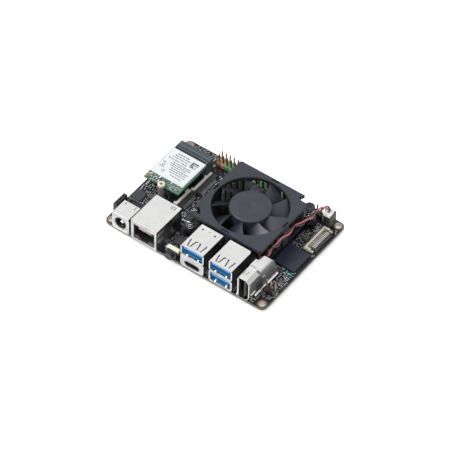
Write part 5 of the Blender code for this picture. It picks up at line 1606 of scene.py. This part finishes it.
KEEP_CLEAR = [  # near left corner and far right corner of each space that small parts stay out of
    (-49.6, -15.2, -42.6, -8.2), (-41.8, -11.2, -38.2, -7.6), (-38.9, -8.1, -33.9, -3.1),
    (-13.2, -27.4, -7.2, -21.4), (34.5, -7.3, 48.3, 8.1), (37.5, 13.8, 41.1, 17.4),
    (45.2, -9.9, 47.4, -8.5), (41.7, 8.9, 48.2, 27.7), (42.0, -26.0, 50.2, -22.8),
    (32.7, 30.6, 41.1, 34.0), (40.5, 27.9, 45.4, 33.6), (33.9, -37.0, 41.6, -17.4),
    (-44.2, -37.0, -33.4, -21.6), (-50.0, -29.2, -46.9, -19.2), (-12.3, -37, -3.4, -31.0),
    (-32.3, -37.0, -15.6, -15.2), (-47.2, 18.9, -25.9, 27.0), (-42.8, 2.0, -30.2, 16.0),
    (-28.5, -6.9, -21.7, 6.4), (-27.1, 6.2, -20.2, 23.0), (-28.2, 29.0, 24.1, 34.8),
    (-11.2, -18.0, 34.8, 28.0), (-14.2, -19.7, -6.2, -11.7), (-0.9, -37.0, 12.8, -18.7),
    (16.6, -37.0, 30.3, -18.7), (30.0, 22.0, 37.7, 29.6), (36.5, -17.8, 42.4, -11.6),
]
KEEP_CLEAR += [(x - 3.4, y - 3.4, x + 3.4, y + 3.4) for x, y in HOLES]
PART_AREAS = (  # near corner, far corner and density
    ((-49, -21), (-33, 2), 0.9), ((-33, -15), (-12, -7), 0.8), ((-21, -12), (-11, 28), 0.9),
    ((34.5, 8), (42, 28), 0.95), ((34, -30), (49, -8), 0.9), ((-15, -33), (-1, -20), 0.7),
    ((12.5, -35), (17, -18), 0.6), ((29.5, -35), (34.5, -18), 0.6), ((-47, 26), (-27, 35), 0.75),
    ((24, 29), (34, 35), 0.7), ((41, -35), (49, -26), 0.6), ((-34, -22), (-31, -15), 0.6),
    ((45, 27), (49, 31), 0.5),
)
PART_SIZES = (  # for draws below the first number: room, length, width and height; tan below the last number
    (0.2, (2.5, 1.7), (2.0, 1.25, 0.9), 0.2),
    (0.35, (1.9, 1.1), (1.6, 0.8, 0.6), 0.35),
    (0.5, (1.9, 1.1), (1.6, 0.8, 0.42), 0.38),
    (0.9, (1.3, 0.8), (1.0, 0.5, 0.38), 0.68),
)
PRINTED_FRAMES = (
    (45.7, -24.4, 7.8, 3.4), (36.9, 32.3, 8.6, 3.4), (-2.07, 31.83, 52.0, 6.2), (42.4, 30.75, 6.2, 6.4),
    (-40.0, -9.4, 4.4, 4.4), (39.3, 15.6, 4.4, 4.4), (45.0, 18.3, 8.4, 20.0), (-38.8, -29.4, 11.5, 16.0),
)


def small_parts():
    """Rows of small parts in the board's free areas, placed the same way each run."""
    rng = random.Random(11)
    taken = list(KEEP_CLEAR)

    def free(x, y, w, h):
        mine = (x - w / 2, y - h / 2, x + w / 2, y + h / 2)
        if abs(x) + w / 2 > 49.2 or abs(y) + h / 2 > 35.3:
            return False
        for a in taken:
            if mine[0] < a[2] and mine[2] > a[0] and mine[1] < a[3] and mine[3] > a[1]:
                return False
        taken.append(mine)
        return True

    for (x0, y0), (x1, y1), density in PART_AREAS:
        for _ in range(int((x1 - x0) * (y1 - y0) * 7 * density)):
            x, y = rng.uniform(x0, x1), rng.uniform(y0, y1)
            x, y = round(x / 0.4) * 0.4, round(y / 0.4) * 0.4
            kind = rng.random()
            turn = rng.choice((0, 90))
            if kind < 0.08:
                if free(x, y, 3.4, 3.6):
                    small_chip(x, y, 2.9, 1.7, 1.0, 3)
            elif 0.12 <= kind < 0.9:
                room, size, tan = next(row[1:] for row in PART_SIZES if kind < row[0])
                if free(x, y, *(room[::-1] if turn else room)):
                    two_end(x, y, turn, *size, smd_pot(kind < tan))
            elif kind >= 0.9 and free(x, y, 0.9, 0.9):
                add_rod(pot("test_pads"), (x, y, -0.01), 0.04, 0.32, sides=16)
    for _ in range(420):
        x, y = rng.uniform(-49, 49), rng.uniform(-35, 35)
        if free(x, y, 0.5, 0.5):
            draw(ring(0.1, 0.2, *PRINT_LEVELS, 12, (x, y)), pot("vias"))
    for x, y, length, width in PRINTED_FRAMES:
        silk_frame(x, y, length, width, 1.0)
    for k in range(26):
        x, y = rng.uniform(34, 48), rng.uniform(-28, 28)
        if free(x, y, 1.6, 0.5):
            draw(boxes(around(x, y, 0.6, 0.08, *PRINT_LEVELS)), pot("silk"))
    under = random.Random(23)
    low = -BOARD[2] - 0.4
    for _ in range(150):
        x, y = under.uniform(-44, 32), under.uniform(-15, 26)
        x, y = round(x / 1.2) * 1.2, round(y / 1.2) * 1.2
        spot = (round(x, 1), round(y, 1))
        if all(math.hypot(x - p.x, y - p.y) > 4 for p in PUSH_PINS.values()) and spot not in taken:
            taken.append(spot)
            two_end(x, y, under.choice((0, 90)), 1.0, 0.5, 0.4, smd_pot(under.random() < 0.6), low)


def pour_small_parts():
    for name, finish, slot, bevel in (
        ("smd_tan", CERAMIC, "chip_epoxy", 0.04), ("smd_dark", FERRITE, "chip_epoxy", 0.04),
        ("smd_ends", SOLDER, "plated_steel", 0.05), ("ic_bodies", EPOXY, "chip_epoxy", 0.06),
        ("ic_legs", PIN_TIN, "plated_steel", 0.02), ("ic_dots", INK, "label_white", 0),
        ("test_pads", PAD_TIN, "pale_brass", 0), ("vias", BRONZE_PAD, "pale_brass", 0),
        ("silk", INK, "label_white", 0), ("via_holes", EDGE, "solder_mask", 0),
        ("pad_rims", PAD_RIM, "solder_mask", 0),
        ("solder_joints", SOLDER, "plated_steel", 0.12), ("hole_lands", PAD_TIN, "pale_brass", 0),
    ):
        pour(name, finish, slot, bevel)


for build in (
    board, solder_joints, ethernet_socket, usb_stacks, video_socket, power_jack, power_button, pin_headers,
    heatsink, fan_cover, fan_rotor, fan_motor, push_pins, fan_lead, wireless_card, camera_sockets,
    display_socket, memory_card_socket, chips, small_parts, pour_small_parts,
):
    build()


# ---- camera, light and floor -------------------------------------------------


def camera():
    a, e, r = (math.radians(v) for v in (CAMERA_AZIMUTH, CAMERA_ELEVATION, CAMERA_ROLL))
    back = Vector((math.sin(a) * math.cos(e), -math.cos(a) * math.cos(e), math.sin(e)))
    right = Vector((math.cos(a), math.sin(a), 0))
    above = back.cross(right)
    level = right * math.cos(r) + above * math.sin(r)
    upright = above * math.cos(r) - right * math.sin(r)
    data = bpy.data.cameras.new("camera")
    data.sensor_width = 36
    data.lens = CAMERA_LENS
    data.shift_x, data.shift_y = CAMERA_SHIFT
    data.clip_start, data.clip_end = 0.05, 20
    place = bpy.data.objects.new("camera", data)
    bpy.context.collection.objects.link(place)
    eye = (back * CAMERA_DISTANCE + LIFT) * MM
    place.matrix_world = Matrix([[level[i], upright[i], back[i], eye[i]] for i in range(3)] + [[0, 0, 0, 1]])
    bpy.context.scene.camera = place


def lamp(name, at, aim, size, power):
    data = bpy.data.lights.new(name, "AREA")
    data.shape = "DISK"
    data.size = size
    data.energy = power
    place = bpy.data.objects.new(name, data)
    bpy.context.collection.objects.link(place)
    place.location = at
    place.rotation_euler = (Vector(at) - Vector(aim)).to_track_quat("Z", "Y").to_euler()


def studio():
    world = bpy.data.worlds.new("studio")
    world.use_nodes = True
    tree = world.node_tree
    split = tree.nodes.new("ShaderNodeSeparateXYZ")
    tree.links.new(tree.nodes.new("ShaderNodeTexCoord").outputs["Generated"], split.inputs["Vector"])
    sky = tree.nodes.new("ShaderNodeValToRGB")
    for element, (position, level) in zip(sky.color_ramp.elements, ((0.05, 0.42), (0.55, 1.0))):
        element.position, element.color = position, (level, level, level, 1)
    tree.links.new(split.outputs["Z"], sky.inputs["Fac"])
    tree.links.new(sky.outputs["Color"], tree.nodes["Background"].inputs["Color"])
    bpy.context.scene.world = world
    lamp("key", (-0.6, -0.5, 1.1), (0, 0, 0), 0.9, 9)
    lamp("fill", (0.2, -1.0, 0.5), (0, 0, 0), 0.7, 2.5)
    n = Nodes("floor")
    tone = n.ramp(n.noise(60.0, 3.0), [(0.3, (0.93, 0.93, 0.93)), (0.7, (0.95, 0.95, 0.95))])
    n.paint(tone)
    n.shader.inputs["Roughness"].default_value = 0.9
    n.shader.inputs["Specular IOR Level"].default_value = 0.1
    n.shader.inputs["Emission Color"].default_value = (1, 1, 1, 1)
    n.shader.inputs["Emission Strength"].default_value = 0.3
    mesh = bpy.data.meshes.new("floor")
    bm = bmesh.new()
    bmesh.ops.create_grid(bm, x_segments=2, y_segments=2, size=4)
    bm.to_mesh(mesh)
    bm.free()
    mesh.materials.append(n.material)
    floor = bpy.data.objects.new("floor", mesh)
    bpy.context.collection.objects.link(floor)


camera()
studio()
bpy.context.scene.view_settings.view_transform = "Standard"
